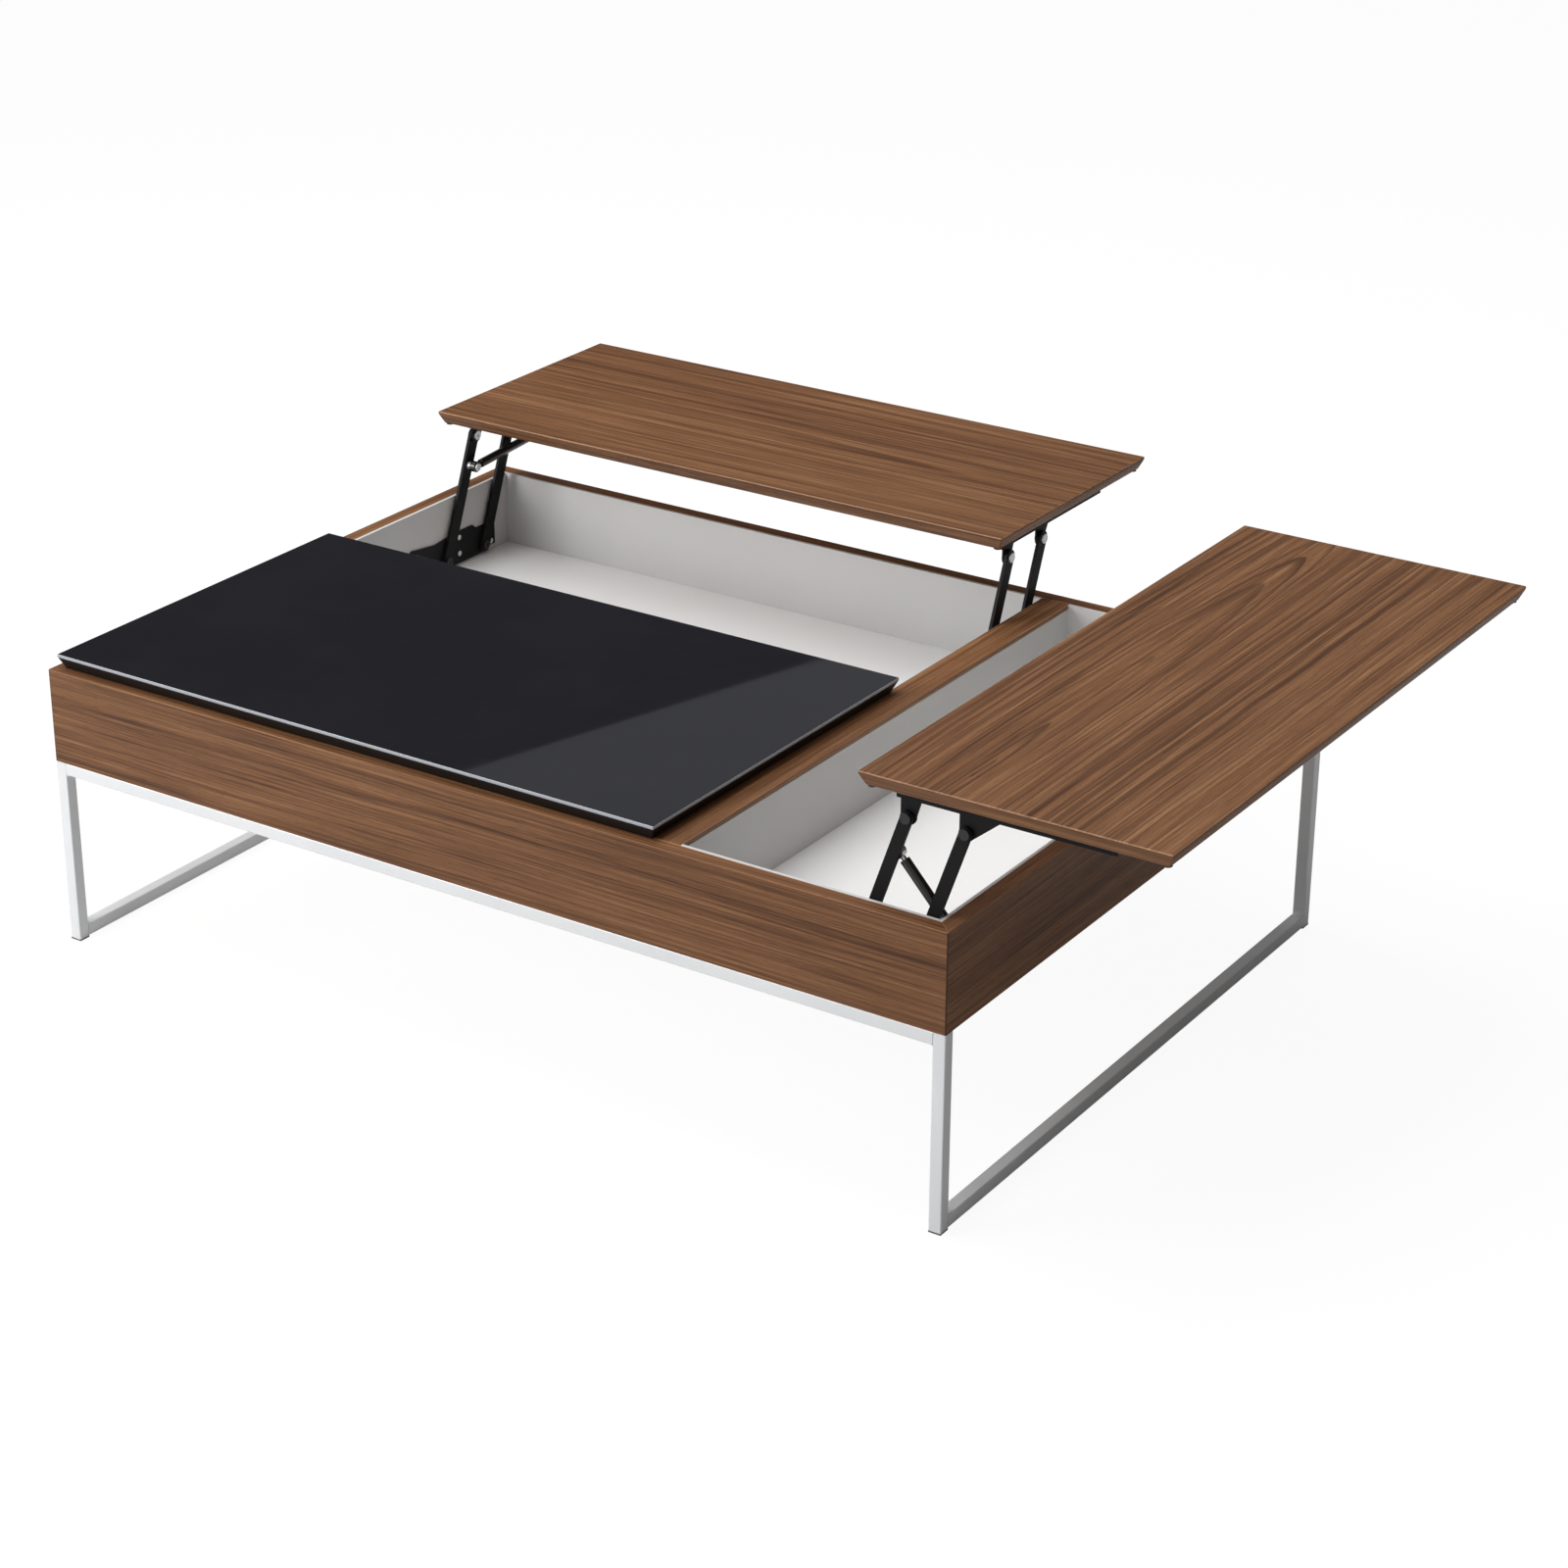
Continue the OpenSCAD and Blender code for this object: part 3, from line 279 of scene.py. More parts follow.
def powder_group():
    """Fine orange-peel of a powder coat or of moulded plastic."""
    group, given, out = new_group(
        "Powder Coat",
        [("Vector", "NodeSocketVector", (0, 0, 0)), ("Grain", "NodeSocketFloat", 900.0)],
        [("Height", "NodeSocketFloat"), ("Speck", "NodeSocketFloat")],
    )
    values = {"Vector": given["Vector"], "Scale": given["Grain"], "Detail": 2.0}
    peel = add_node(group, "ShaderNodeTexNoise", values).outputs["Fac"]
    group.links.new(peel, out["Height"])
    group.links.new(ramp(group, peel, 0.55, 0.75), out["Speck"])
    return group


GROUP_MAKERS = {
    "Wood Figure": wood_figure_group,
    "Handling Marks": handling_group,
    "Powder Coat": powder_group,
}


def use_group(tree, name, values):
    group = bpy.data.node_groups.get(name) or GROUP_MAKERS[name]()
    made = tree.nodes.new("ShaderNodeGroup")
    made.node_tree = group
    for key, value in values.items():
        if isinstance(value, bpy.types.NodeSocket):
            tree.links.new(value, made.inputs[key])
        else:
            made.inputs[key].default_value = value
    return made.outputs


def new_material(name, **values):
    """A material with a Principled shader; returns it, its tree, the shader and Object coordinates."""
    material = bpy.data.materials.new(name)
    material.use_nodes = True
    tree = material.node_tree
    tree.nodes.clear()
    shader = add_node(tree, "ShaderNodeBsdfPrincipled", {k.replace("_", " "): v for k, v in values.items()})
    output = add_node(tree, "ShaderNodeOutputMaterial")
    tree.links.new(shader.outputs[0], output.inputs[0])
    return material, tree, shader, add_node(tree, "ShaderNodeTexCoord").outputs["Object"]


def bump(tree, shader, height, distance, strength=1.0):
    made = add_node(tree, "ShaderNodeBump", {"Height": height, "Distance": distance, "Strength": strength})
    tree.links.new(made.outputs[0], shader.inputs["Normal"])


# ---------- materials ----------


def walnut(name, turn, centre=(3.0, 0.4, 0.0), taper=0.03, spacing=0.0085, wander=0.014, lines=0.55,
           shift=(0, 0, 0)):
    """Lacquered walnut veneer; turn lays the grain along the board and shift picks the part of the log."""
    tones = settings().walnut
    lacquer = {"Coat_Weight": 0.04, "Coat_Roughness": 0.3, "Specular_IOR_Level": 0.22}
    material, tree, shader, place = new_material(name, **lacquer)
    rotation = Euler([math.radians(a) for a in turn])
    mapped = add_node(tree, "ShaderNodeMapping", {"Vector": place, "Rotation": rotation, "Location": shift})
    figure = use_group(tree, "Wood Figure", {
        "Vector": mapped.outputs[0], "Centre": centre, "Taper": taper, "Line Spacing": spacing,
        "Wander": wander, "Line Strength": lines, "Light": opaque(tones.light),
        "Middle": opaque(tones.middle), "Dark": opaque(tones.dark),
    })
    marks = use_group(tree, "Handling Marks", {"Vector": place, "Roughness": 0.36, "Marks": 0.08})
    tree.links.new(figure["Color"], shader.inputs["Base Color"])
    tree.links.new(maths(tree, "ADD", marks["Roughness"], figure["Gloss"]), shader.inputs["Roughness"])
    bump(tree, shader, figure["Height"], 0.00012, 0.6)
    return material


def highlight_veneer(turn):
    """Paler walnut of the rounded edges, a painted highlight along the arrises; one for each way the grain
    runs.
    """
    name = "walnut highlight edge " + " ".join(f"{a:.0f}" for a in turn)
    if name in bpy.data.materials:
        return bpy.data.materials[name]
    tones = settings().walnut
    lacquer = {"Coat_Weight": 0.15, "Coat_Roughness": 0.25, "Specular_IOR_Level": 0.3}
    material, tree, shader, place = new_material(name, **lacquer)
    rotation = Euler([math.radians(a) for a in turn])
    mapped = add_node(tree, "ShaderNodeMapping", {"Vector": place, "Rotation": rotation})
    figure = use_group(tree, "Wood Figure", {
        "Vector": mapped.outputs[0], "Centre": (3.0, 0.4, 0.0), "Taper": 0.03, "Line Spacing": 0.0085,
        "Wander": 0.014, "Line Strength": 0.3, "Light": opaque(tones.edge), "Middle": opaque(tones.light),
        "Dark": opaque(tones.middle),
    })
    tree.links.new(figure["Color"], shader.inputs["Base Color"])
    tree.links.new(maths(tree, "ADD", figure["Gloss"], 0.34), shader.inputs["Roughness"])
    bump(tree, shader, figure["Height"], 0.0001, 0.5)
    return material


def birch(name):
    tone = settings().finish.birch
    material, tree, shader, place = new_material(name)
    figure = use_group(tree, "Wood Figure", {
        "Vector": place, "Centre": (2.0, 0.3, 0.0), "Taper": 0.02, "Line Spacing": 0.006, "Wander": 0.01,
        "Line Strength": 0.25, "Light": opaque(v * 1.15 for v in tone), "Middle": opaque(tone),
        "Dark": opaque(v * 0.6 for v in tone),
    })
    tree.links.new(figure["Color"], shader.inputs["Base Color"])
    tree.links.new(maths(tree, "ADD", figure["Gloss"], 0.5), shader.inputs["Roughness"])
    bump(tree, shader, figure["Height"], 0.0002)
    return material


def coated(name, tone, roughness, marks=0.08, grain=900.0, peel=0.00006, fleck=0.15, **values):
    """A plain coloured coating: faint flecks, orange-peel and handling marks."""
    material, tree, shader, place = new_material(name, **values)
    powder = use_group(tree, "Powder Coat", {"Vector": place, "Grain": grain})
    worn = use_group(tree, "Handling Marks", {"Vector": place, "Roughness": roughness, "Marks": marks})
    lighter = opaque(min(1.0, v * 1.35 + 0.01) for v in tone)
    amount = maths(tree, "MULTIPLY", maths(tree, "ADD", powder["Speck"], worn["Mask"]), fleck)
    tree.links.new(blend(tree, amount, opaque(tone), lighter), shader.inputs["Base Color"])
    tree.links.new(worn["Roughness"], shader.inputs["Roughness"])
    bump(tree, shader, powder["Height"], peel)
    return material


def brushed(name, tone, along, roughness, metallic=1.0):
    """Metal with fine brushing along one axis; along is a stretch in cells per metre."""
    material, tree, shader, place = new_material(name, Metallic=metallic)
    hair = noise(tree, place, along, 3.0, 0.6)
    worn = use_group(tree, "Handling Marks", {"Vector": place, "Roughness": roughness, "Marks": 0.10})
    darker = opaque(v * 0.86 for v in tone)
    tree.links.new(blend(tree, hair, opaque(tone), darker), shader.inputs["Base Color"])
    tree.links.new(maths(tree, "MULTIPLY_ADD", hair, 0.08, worn["Roughness"]), shader.inputs["Roughness"])
    bump(tree, shader, hair, 0.00002)
    return material


def black_glass(name):
    material, tree, shader, place = new_material(name, IOR=1.5)
    worn = use_group(tree, "Handling Marks", {"Vector": place, "Roughness": 0.015, "Marks": 0.03})
    tone = settings().finish.glass
    haze = opaque(v + 0.003 for v in tone)
    tree.links.new(blend(tree, worn["Mask"], opaque(tone), haze), shader.inputs["Base Color"])
    tree.links.new(worn["Roughness"], shader.inputs["Roughness"])
    return material


def material_for(name):
    """Materials that many pieces share, made when they are first asked for."""
    if name in bpy.data.materials:
        return bpy.data.materials[name]
    finish = settings().finish
    makers = {
        "pale lining": lambda: coated(name, finish.lining, 0.42, grain=1400.0, peel=0.00004, fleck=0.10),
        "lit pale floor": lambda: coated(name, finish.lit_floor_lining, 0.36, grain=1400.0, peel=0.00004, fleck=0.06),
        "joint line": lambda: coated(name, settings().walnut.dark, 0.6, fleck=0.05),
        "black lacquer": lambda: coated(
            name, finish.steel, 0.28, grain=500.0, peel=0.00003, Specular_IOR_Level=0.3
        ),
        "black powder coat": lambda: coated(
            name, finish.steel, 0.46, grain=1500.0, peel=0.0001, Specular_IOR_Level=0.14
        ),
        "gloss black barrel": lambda: coated(
            name, finish.steel, 0.12, grain=400.0, peel=0.00002, Coat_Weight=0.6
        ),
        "black glass": lambda: black_glass(name),
        # Pale grey glass edge: partly the ground edge's own tone, partly a painted highlight.
        "ground glass edge highlight": lambda: coated(name, finish.glass_edge, 0.30, grain=2500.0, peel=0.00003),
        "silver tube": lambda: coated(
            name, finish.silver, 0.34, grain=1800.0, peel=0.00003, fleck=0.2, Metallic=0.2
        ),
        "bright zinc": lambda: brushed(name, finish.zinc, (900.0, 900.0, 40.0), 0.28, 0.6),
        "blackened zinc": lambda: brushed(name, finish.dark_zinc, (900.0, 900.0, 40.0), 0.34, 0.5),
        "chrome rod": lambda: brushed(name, finish.zinc, (900.0, 60.0, 900.0), 0.10),
        "soft rubber": lambda: coated(name, finish.rubber, 0.62, grain=1200.0, peel=0.0001),
        "birch": lambda: birch(name),
    }
    return makers[name]()


# ---------- mesh helpers ----------


def finish_piece(bm, name, materials, node, extra_nodes=()):
    """Turns a bmesh into a piece that rides on its node's body and stands for that node."""
    bmesh.ops.recalc_face_normals(bm, faces=bm.faces)
    shade(bm)
    mesh = bpy.data.meshes.new(name)
    bm.to_mesh(mesh)
    bm.free()
    for material in materials:
        mesh.materials.append(material)
    piece = bpy.data.objects.new(name, mesh)
    bpy.context.scene.collection.objects.link(piece)
    piece.modifiers.new("Weighted normals", "WEIGHTED_NORMAL").keep_sharp = True
    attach(piece, BODY_OF[node])
    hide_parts(node, *extra_nodes)
    return piece


def shade(bm, angle=math.radians(32)):
    """Smooth faces, with a crease wherever two faces meet at more than the angle."""
    for face in bm.faces:
        face.smooth = True
    for edge in bm.edges:
        edge.smooth = edge.is_manifold and edge.calc_face_angle(0.0) < angle


def box_mesh(low, high):
    bm = bmesh.new()
    bmesh.ops.create_cube(bm, size=1.0)
    low, high = Vector(low), Vector(high)
    bmesh.ops.scale(bm, vec=high - low, verts=bm.verts)
    bmesh.ops.translate(bm, vec=(low + high) / 2, verts=bm.verts)
    return bm


def round_edges(bm, edges, radius, segments=None):
    bmesh.ops.bevel(
        bm, geom=edges, offset=radius, offset_type="OFFSET", affect="EDGES", profile=0.5, material=-1,
        segments=segments or settings().edges.segments, clamp_overlap=True, loop_slide=True,
    )


def round_edges_into_slot(bm, edges, radius, index=1):
    """Rounds the edges and gives the new faces another material."""
    made = bmesh.ops.bevel(
        bm, geom=edges, offset=radius, offset_type="OFFSET", affect="EDGES", profile=0.5, material=-1,
        segments=settings().edges.segments, clamp_overlap=True, loop_slide=True,
    )
    for face in made["faces"]:
        face.material_index = index


def sharp_edges(bm, angle=math.radians(40)):
    return [e for e in bm.edges if e.is_manifold and e.calc_face_angle_signed(0.0) > angle]


def copy_of(node):
    """A merged copy of a frame node, its flat faces made whole."""
    bm = bmesh.new()
    bm.from_mesh(NODES[node].data)
    bmesh.ops.remove_doubles(bm, verts=bm.verts, dist=2e-6)
    flat = math.radians(0.5)
    bmesh.ops.dissolve_limit(
        bm, angle_limit=flat, verts=bm.verts, edges=bm.edges, use_dissolve_boundaries=False
    )
    return bm


def softened(node, name, material, radius):
    """The node's own shape with its outside edges rounded."""
    bm = copy_of(node)
    round_edges(bm, sharp_edges(bm), radius)
    return finish_piece(bm, name, [material_for(material)], node)


def paint(node, material):
    """Gives a frame node that stays as it is a finished material."""
    mesh = NODES[node].data
    mesh.materials.clear()
    mesh.materials.append(material)


def end_faces(bm, axis, index=1):
    """Faces square to an axis take another material, such as an edge band."""
    for face in bm.faces:
        if abs(face.normal[axis]) > 0.7:
            face.material_index = index


# ---------- operators ----------


class COFFEETABLE_OT_case_boards(bpy.types.Operator):
    """Builds the four mitred walnut boards of the case and the divider's cap"""

    bl_idname = "coffee_table.case_boards"
    bl_label = "Case boards"

    def execute(self, context):
        figures = {
            "front_panel": (UPRIGHT_X, 1, (0.0, 0.31, 0.0)),
            "back_panel": (UPRIGHT_X, -1, (2.7, 1.13, 0.0)),
            "left_panel": (UPRIGHT_Y, 1, (5.1, 0.77, 0.0)),
            "right_panel": (UPRIGHT_Y, -1, (7.9, 0.45, 0.0)),
        }
        for node, (turn, inward, shift) in figures.items():
            low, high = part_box(node)
            size = high - low
            across = 1 if size.x > size.y else 0
            bm = box_mesh(low, high)
            self.mitre(bm, low, high, across, inward)
            upright = [e for e in sharp_edges(bm) if abs(e.verts[0].co.z - e.verts[1].co.z) > 0.05]
            round_edges_into_slot(bm, upright, settings().walnut.joint, 2)
            level = [e for e in sharp_edges(bm) if abs(e.verts[0].co.z - e.verts[1].co.z) < 0.001]
            # Level arrises take the paler walnut, a painted highlight; the upright mitres take the dark joint
            # line.
            round_edges_into_slot(bm, level, settings().walnut.arris)
            veneer = walnut(f"walnut {node}", turn, centre=(4.0, 0.9, 0.0), taper=0.02, spacing=0.0065,
                            wander=0.010, lines=0.55, shift=shift)
            faces = [veneer, highlight_veneer(turn), material_for("joint line")]
            finish_piece(bm, f"{node}_board", faces, node)
        self.cap()
        return {"FINISHED"}

    def mitre(self, bm, low, high, across, inward):
        """Draws the inner upright edges back by the board's thickness: boards meet on the diagonal."""
        along = 1 - across
        thick = high[across] - low[across]
        inner = high[across] if inward > 0 else low[across]
        middle = (low[along] + high[along]) / 2
        for vert in bm.verts:
            if abs(vert.co[across] - inner) < thick / 4:
                vert.co[along] += thick if vert.co[along] < middle else -thick

    def cap(self):
        bm = box_mesh(*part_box("divider_cap"))
        # The cap's rounded edges take the paler walnut, a painted highlight.
        round_edges_into_slot(bm, sharp_edges(bm), settings().walnut.arris)
        veneer = walnut("walnut divider", ALONG_Y, spacing=0.006, wander=0.008, shift=(3.3, 2.1, 0.0))
        finish_piece(bm, "divider_cap_board", [veneer, highlight_veneer(ALONG_Y)], "divider_cap")


class COFFEETABLE_OT_lining(bpy.types.Operator):
    """Builds the pale lining, the floor board and the divider's two boards"""

    bl_idname = "coffee_table.lining"
    bl_label = "Lining"

    def execute(self, context):
        for node in ("bay_liner_front", "bay_liner_left", "bay_liner_back", "box_liner_front",
                     "box_liner_right", "box_liner_back", "divider_left_board", "divider_right_board",
                     "cross_rail"):
            softened(node, f"{node}_lined", "pale lining", settings().edges.board)
        # The floor board takes the paler copy of the lining as painted light.
        softened("bottom_panel", "bottom_panel_lined", "lit pale floor", settings().edges.board)
        return {"FINISHED"}


class COFFEETABLE_OT_fixed_top(bpy.types.Operator):
    """Builds the black glass and the gloss board under it"""

    bl_idname = "coffee_table.fixed_top"
    bl_label = "Fixed top"

    def execute(self, context):
        bm = box_mesh(*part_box("fixed_top_glass"))
        round_edges(bm, sharp_edges(bm), settings().walnut.arris)
        bm.normal_update()
        # Faces that are not flat on top take the pale grey edge, partly the ground glass's own tone and partly
        # a painted highlight.
        for face in bm.faces:
            face.material_index = 0 if abs(face.normal.z) > 0.95 else 1
        sheet = [material_for("black glass"), material_for("ground glass edge highlight")]
        finish_piece(bm, "fixed_top_glass_sheet", sheet, "fixed_top_glass")
        softened("fixed_top_board", "fixed_top_gloss_board", "black lacquer",
                 settings().edges.board)
        return {"FINISHED"}


class COFFEETABLE_OT_lifting_tops(bpy.types.Operator):
    """Builds the two walnut tops: a rounded nose, then an edge cut back underneath"""

    bl_idname = "coffee_table.lifting_tops"
    bl_label = "Lifting tops"

    nose_height: length("Nose height", "Upright part of the edge", 0.003)
    undercut: length("Undercut", "How far the edge is cut back underneath", 0.006)

    def execute(self, context):
        rear = walnut("walnut rear top", ALONG_X, centre=(-1.6, 0.35, 0.0), taper=0.015, spacing=0.0085,
                      wander=0.016, lines=0.8, shift=(0.4, 0.0, 0.0))
        rear_end = walnut("walnut rear ends", ALONG_Y, shift=(1.7, 3.0, 0.0))
        self.board("rear_top_board", [rear, rear_end], 0)
        right = walnut("walnut right top", ALONG_Y, centre=(-0.45, -0.475, 0.0), taper=0.055, spacing=0.0095,
                       wander=0.016, lines=0.95)
        right_end = walnut("walnut right ends", ALONG_X, shift=(1.1, 4.0, 0.0))
        self.board("right_top_board", [right, right_end], 1)
        return {"FINISHED"}

    def board(self, node, materials, grain_axis):
        low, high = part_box(node)
        bm = box_mesh(low, high)
        whole = bm.verts[:] + bm.edges[:] + bm.faces[:]
        bmesh.ops.bisect_plane(bm, geom=whole, plane_co=(0, 0, high.z - self.nose_height), plane_no=(0, 0, 1))
        middle = (low + high) / 2
        for vert in bm.verts:
            if vert.co.z < low.z + self.nose_height / 2:
                for axis in (0, 1):
                    vert.co[axis] += self.undercut if vert.co[axis] < middle[axis] else -self.undercut
        bm.normal_update()
        round_edges(bm, sharp_edges(bm, math.radians(12)), settings().walnut.nose, 4)
        bm.normal_update()
        end_faces(bm, grain_axis)
        # Sloping faces of the rounded nose take the paler walnut, a painted highlight.
        for face in bm.faces:
            if 0.2 < face.normal.z < 0.97:
                face.material_index = 2
        turn = ALONG_Y if grain_axis else ALONG_X
        finish_piece(bm, f"{node}_veneered", [*materials, highlight_veneer(turn)], node)


class COFFEETABLE_OT_tube_frame(bpy.types.Operator):
    """Builds the silver square tube frame with its welds and glides"""

    bl_idname = "coffee_table.tube_frame"
    bl_label = "Tube frame"

    def execute(self, context):
        for node in ("front_rail", "back_rail", "front_left_leg", "front_right_leg", "back_left_leg",
                     "back_right_leg", "left_runner", "right_runner"):
            bm = copy_of(node)
            long_side = max(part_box(node)[1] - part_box(node)[0])
            edges = [e for e in sharp_edges(bm) if e.calc_length() > long_side * 0.9]
            round_edges(bm, edges, settings().edges.tube)
            finish_piece(bm, f"{node}_tube", [material_for("silver tube")], node)
        self.welds()
        softened("floor_glides", "floor_glide_pads", "soft rubber", settings().edges.steel)
        return {"FINISHED"}

    def welds(self):
        """Small concave fillets in the inside corners between the legs and the rails and runners."""
        bm = bmesh.new()
        for leg in ("front_left_leg", "front_right_leg", "back_left_leg", "back_right_leg"):
            low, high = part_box(leg)
            middle = (low + high) / 2
            right = -1 if middle.x > 0 else 1
            back = -1 if low.y > 0 else 1
            rail_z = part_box("front_rail")[0].z
            runner_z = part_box("left_runner")[1].z
            rail_corner = Vector((high.x if right > 0 else low.x, middle.y, rail_z))
            runner_corner = Vector((middle.x, high.y if back > 0 else low.y, runner_z))
            self.weld(bm, rail_corner, Vector((right, 0, 0)), Vector((0, 0, -1)), high.y - low.y)
            self.weld(bm, runner_corner, Vector((0, back, 0)), Vector((0, 0, 1)), high.x - low.x)
        piece_material = [material_for("silver tube")]
        mesh = bpy.data.meshes.new("frame_welds")
        bmesh.ops.recalc_face_normals(bm, faces=bm.faces)
        shade(bm)
        bm.to_mesh(mesh)
        bm.free()
        mesh.materials.append(piece_material[0])
        piece = bpy.data.objects.new("frame_welds", mesh)
        bpy.context.scene.collection.objects.link(piece)
        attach(piece, "root")

    def weld(self, bm, corner, out, up, wide):
        radius = settings().edges.weld
        sink = 0.0004
        steps = 6
        across = out.cross(up).normalized() * (wide / 2 - settings().edges.tube)
        start = corner - out * sink - up * sink
        arc = [corner + out * radius * (1 - math.sin(a)) + up * radius * (1 - math.cos(a))
               for a in (math.pi / 2 * k / steps for k in range(steps + 1))]
        outline = [start, arc[0] - up * sink] + arc + [arc[-1] - out * sink]
        face = bm.faces.new([bm.verts.new(p - across) for p in outline])
        grown = bmesh.ops.extrude_face_region(bm, geom=[face])
        moved = [v for v in grown["geom"] if isinstance(v, bmesh.types.BMVert)]
        bmesh.ops.translate(bm, vec=across * 2, verts=moved)


class COFFEETABLE_OT_lift_steel(bpy.types.Operator):
    """Builds the black arms, plates, rails and brackets of both lifts"""

    bl_idname = "coffee_table.lift_steel"
    bl_label = "Lift steel"

    def execute(self, context):
        for node in ("rear_front_arms", "rear_back_arms", "right_inner_arms", "right_outer_arms",
                     "rear_top_rails", "right_top_rails", "rear_base_plates", "right_base_plates",
                     "rear_strut_bracket"):
            softened(node, f"{node}_steel", "black powder coat", settings().edges.steel)
        return {"FINISHED"}


class COFFEETABLE_OT_bolts(bpy.types.Operator):
    """Builds the pivot pins, studs and screws"""

    bl_idname = "coffee_table.bolts"
    bl_label = "Bolts and screws"

    def execute(self, context):
        for node in ("rear_top_pins", "rear_strut_stud", "right_strut_stud", "plate_screws", "rear_top_screws",
                     "right_top_screws"):
            softened(node, f"{node}_plated", "bright zinc", settings().edges.steel)
        for node in ("rear_base_pins", "right_base_pins", "right_top_pins"):
            softened(node, f"{node}_plated", "blackened zinc", settings().edges.steel)
        for node in ("fixed_top_screws", "frame_screws"):
            paint(node, material_for("bright zinc"))
        return {"FINISHED"}


class COFFEETABLE_OT_struts(bpy.types.Operator):
    """Builds the two struts: glossy cylinders and bright rods"""

    bl_idname = "coffee_table.struts"
    bl_label = "Struts"

    def execute(self, context):
        for side in ("rear", "right"):
            softened(f"{side}_strut_cylinder", f"{side}_strut_barrel", "gloss black barrel",
                     settings().edges.steel)
            softened(f"{side}_strut_rod", f"{side}_strut_shaft", "chrome rod", settings().edges.steel)
        return {"FINISHED"}


class COFFEETABLE_OT_cushions(bpy.types.Operator):
    """Builds the rubber cushions under the lifting tops"""

    bl_idname = "coffee_table.cushions"
    bl_label = "Cushions"

    def execute(self, context):
        for side in ("rear", "right"):
            softened(f"{side}_top_bumpers", f"{side}_top_cushions", "soft rubber", 0.0008)
        return {"FINISHED"}


class COFFEETABLE_OT_hidden_wood(bpy.types.Operator):
    """Finishes the battens, cleats and splines that stay out of sight"""

    bl_idname = "coffee_table.hidden_wood"
    bl_label = "Hidden wood"

    def execute(self, context):
        for node in ("bottom_cleats", "fixed_top_batten", "corner_splines"):
            paint(node, material_for("birch"))
        return {"FINISHED"}


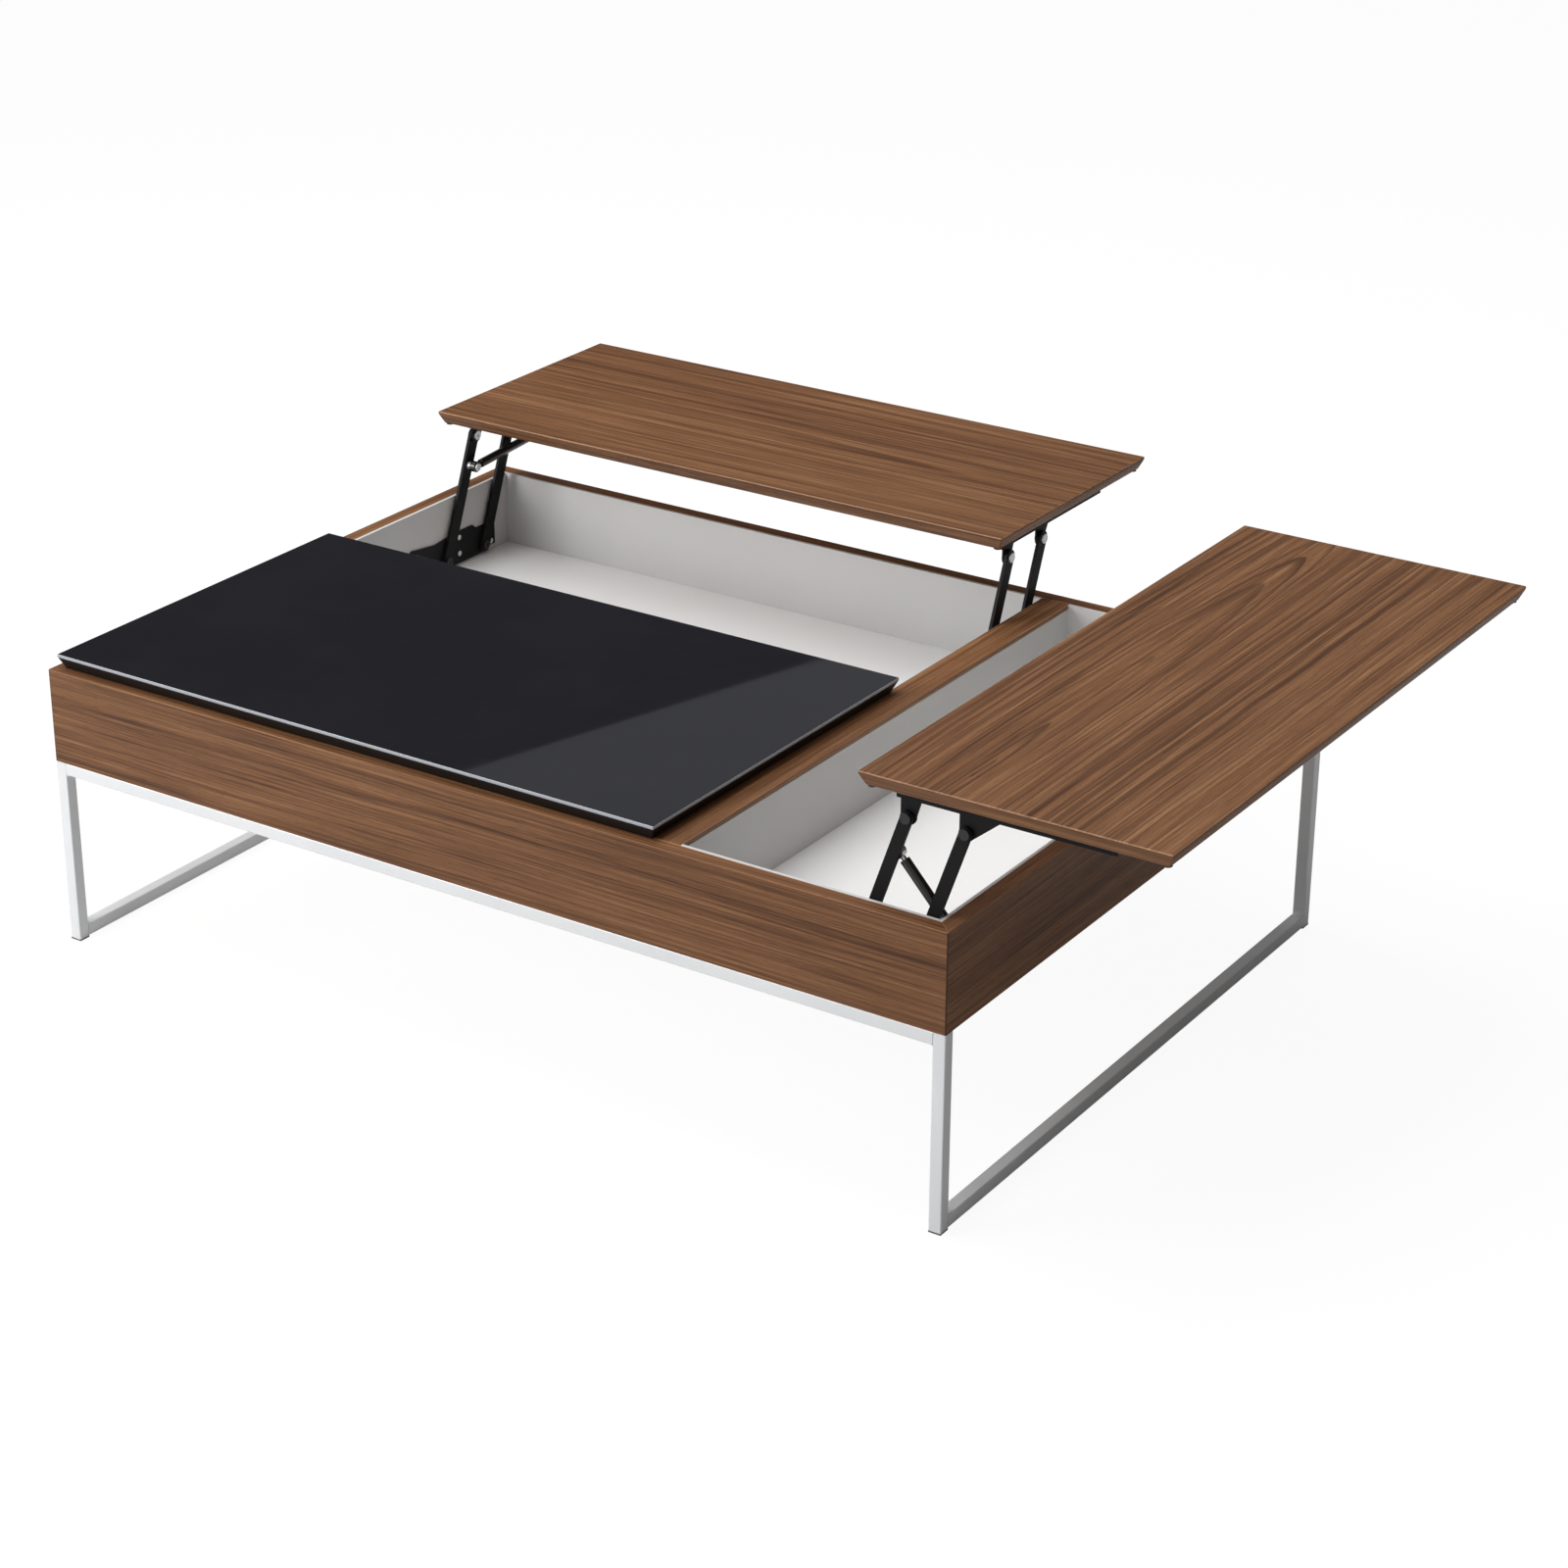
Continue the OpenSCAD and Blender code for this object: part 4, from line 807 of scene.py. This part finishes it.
class COFFEETABLE_OT_stage(bpy.types.Operator):
    """Builds the plain floor, the soft lights and the camera"""

    bl_idname = "coffee_table.stage"
    bl_label = "Stage"

    def execute(self, context):
        self.floor()
        self.world(context.scene)
        self.lights()
        self.cards()
        self.camera(context.scene)
        context.scene.view_settings.view_transform = "Standard"
        return {"FINISHED"}

    def plane(self, name, size_x, size_y, matrix):
        bm = bmesh.new()
        bmesh.ops.create_grid(bm, x_segments=1, y_segments=1, size=0.5)
        bmesh.ops.scale(bm, vec=(size_x, size_y, 1), verts=bm.verts)
        bmesh.ops.transform(bm, matrix=matrix, verts=bm.verts)
        mesh = bpy.data.meshes.new(name)
        bm.to_mesh(mesh)
        bm.free()
        made = bpy.data.objects.new(name, mesh)
        bpy.context.scene.collection.objects.link(made)
        return made

    def floor(self):
        material = bpy.data.materials.new("studio floor")
        material.use_nodes = True
        tree = material.node_tree
        tree.nodes.clear()
        tone = opaque(settings().stage.floor)
        lit = add_node(tree, "ShaderNodeBsdfDiffuse", {"Color": tone}).outputs[0]
        glow = add_node(tree, "ShaderNodeEmission", {"Color": (1, 1, 1, 1), "Strength": 1.08}).outputs[0]
        seen = add_node(tree, "ShaderNodeLightPath").outputs["Is Camera Ray"]
        share = maths(tree, "MULTIPLY", seen, 0.86)
        mixed = add_node(tree, "ShaderNodeMixShader", {0: share, 1: lit, 2: glow})
        output = add_node(tree, "ShaderNodeOutputMaterial")
        tree.links.new(mixed.outputs[0], output.inputs[0])
        self.plane("studio_floor", 60.0, 60.0, Matrix.Identity(4)).data.materials.append(material)

    def world(self, scene):
        scene.world = bpy.data.worlds.new("studio")
        scene.world.use_nodes = True
        tree = scene.world.node_tree
        background = tree.nodes["Background"]
        background.inputs["Color"].default_value = (1.0, 1.0, 1.0, 1.0)
        way = add_node(tree, "ShaderNodeTexCoord").outputs["Generated"]
        toward = Vector((-0.72, -0.42, 0.55)).normalized()
        measured = add_node(tree, "ShaderNodeVectorMath", {0: way, 1: toward}, operation="DOT_PRODUCT")
        facing = measured.outputs["Value"]
        tree.links.new(ramp(tree, facing, -0.7, 0.9, 0.06, 0.56), background.inputs["Strength"])

    def lights(self):
        self.soft_light("key light", (-2.6, -3.4, 2.0), 2.2, 116.0)
        self.soft_light("top light", (-0.9, -0.2, 3.4), 3.0, 88.0)

    def soft_light(self, name, place, size, power):
        data = bpy.data.lights.new(name, "AREA")
        data.shape = "SQUARE"
        data.size = size
        data.energy = power
        lamp = bpy.data.objects.new(name, data)
        bpy.context.scene.collection.objects.link(lamp)
        aim = Vector((0.0, 0.0, 0.3)) - Vector(place)
        lamp.matrix_world = Matrix.Translation(place) @ aim.to_track_quat("-Z", "Y").to_matrix().to_4x4()

    def cards(self):
        """Cards that only glossy surfaces see: the glass mirrors a dark one with a slanting paler part."""
        self.card("dark card", [(-7.0, 0.7), (2.4, 0.7), (2.4, 5.0), (-7.0, 5.0)], 2.62, 0.045)
        self.card("pale card", [(-3.494, 2.6), (-0.8, 1.2), (2.2, 1.2), (2.2, 2.6)], 2.60, 0.26)

    def card(self, name, corners, behind, glow):
        bm = bmesh.new()
        bm.faces.new([bm.verts.new((x, behind, z)) for x, z in corners])
        mesh = bpy.data.meshes.new(name)
        bm.to_mesh(mesh)
        bm.free()
        material = bpy.data.materials.new(name)
        material.use_nodes = True
        tree = material.node_tree
        tree.nodes.clear()
        light = add_node(tree, "ShaderNodeEmission", {"Color": (0.93, 0.96, 1.0, 1.0), "Strength": glow})
        tree.links.new(light.outputs[0], add_node(tree, "ShaderNodeOutputMaterial").inputs[0])
        mesh.materials.append(material)
        made = bpy.data.objects.new(name, mesh)
        bpy.context.scene.collection.objects.link(made)
        made.visible_camera = False
        made.visible_diffuse = False
        made.visible_transmission = False
        made.visible_shadow = False

    def camera(self, scene):
        stage = settings().stage
        data = bpy.data.cameras.new("camera")
        data.lens = stage.lens
        data.sensor_width = 36.0
        data.clip_end = 200.0
        made = bpy.data.objects.new("camera", data)
        scene.collection.objects.link(made)
        az, el = stage.azimuth, stage.elevation
        back = Vector((math.sin(az) * math.cos(el), -math.cos(az) * math.cos(el), math.sin(el)))
        turn = (-back).to_track_quat("-Z", "Y").to_matrix().to_4x4() @ Matrix.Rotation(-stage.roll, 4, "Z")
        made.matrix_world = Matrix.Translation(Vector(stage.aim) + back * stage.distance) @ turn
        scene.camera = made


class COFFEETABLE_PT_panel(bpy.types.Panel):
    """Lists the steps that build the table"""

    bl_idname = "COFFEETABLE_PT_panel"
    bl_label = "Coffee Table"
    bl_space_type = "VIEW_3D"
    bl_region_type = "UI"
    bl_category = "Coffee Table"

    def draw(self, context):
        for step in STEPS:
            self.layout.operator(step.bl_idname)
        for group in ("walnut", "finish", "edges", "stage"):
            box = self.layout.box()
            chosen = getattr(context.scene.coffee_table, group)
            for key in chosen.__annotations__:
                box.prop(chosen, key)


STEPS = (
    COFFEETABLE_OT_case_boards,
    COFFEETABLE_OT_lining,
    COFFEETABLE_OT_fixed_top,
    COFFEETABLE_OT_lifting_tops,
    COFFEETABLE_OT_tube_frame,
    COFFEETABLE_OT_lift_steel,
    COFFEETABLE_OT_bolts,
    COFFEETABLE_OT_struts,
    COFFEETABLE_OT_cushions,
    COFFEETABLE_OT_hidden_wood,
    COFFEETABLE_OT_stage,
)
CLASSES = (
    WalnutSettings, FinishSettings, EdgeSettings, StageSettings, TableSettings, *STEPS, COFFEETABLE_PT_panel,
)


def register():
    for cls in CLASSES:
        bpy.utils.register_class(cls)
    bpy.types.Scene.coffee_table = PointerProperty(type=TableSettings)


def unregister():
    del bpy.types.Scene.coffee_table
    for cls in reversed(CLASSES):
        bpy.utils.unregister_class(cls)


def main():
    register()
    for step in STEPS:
        family, action = step.bl_idname.split(".")
        getattr(getattr(bpy.ops, family), action)()


if __name__ == "__main__":
    main()
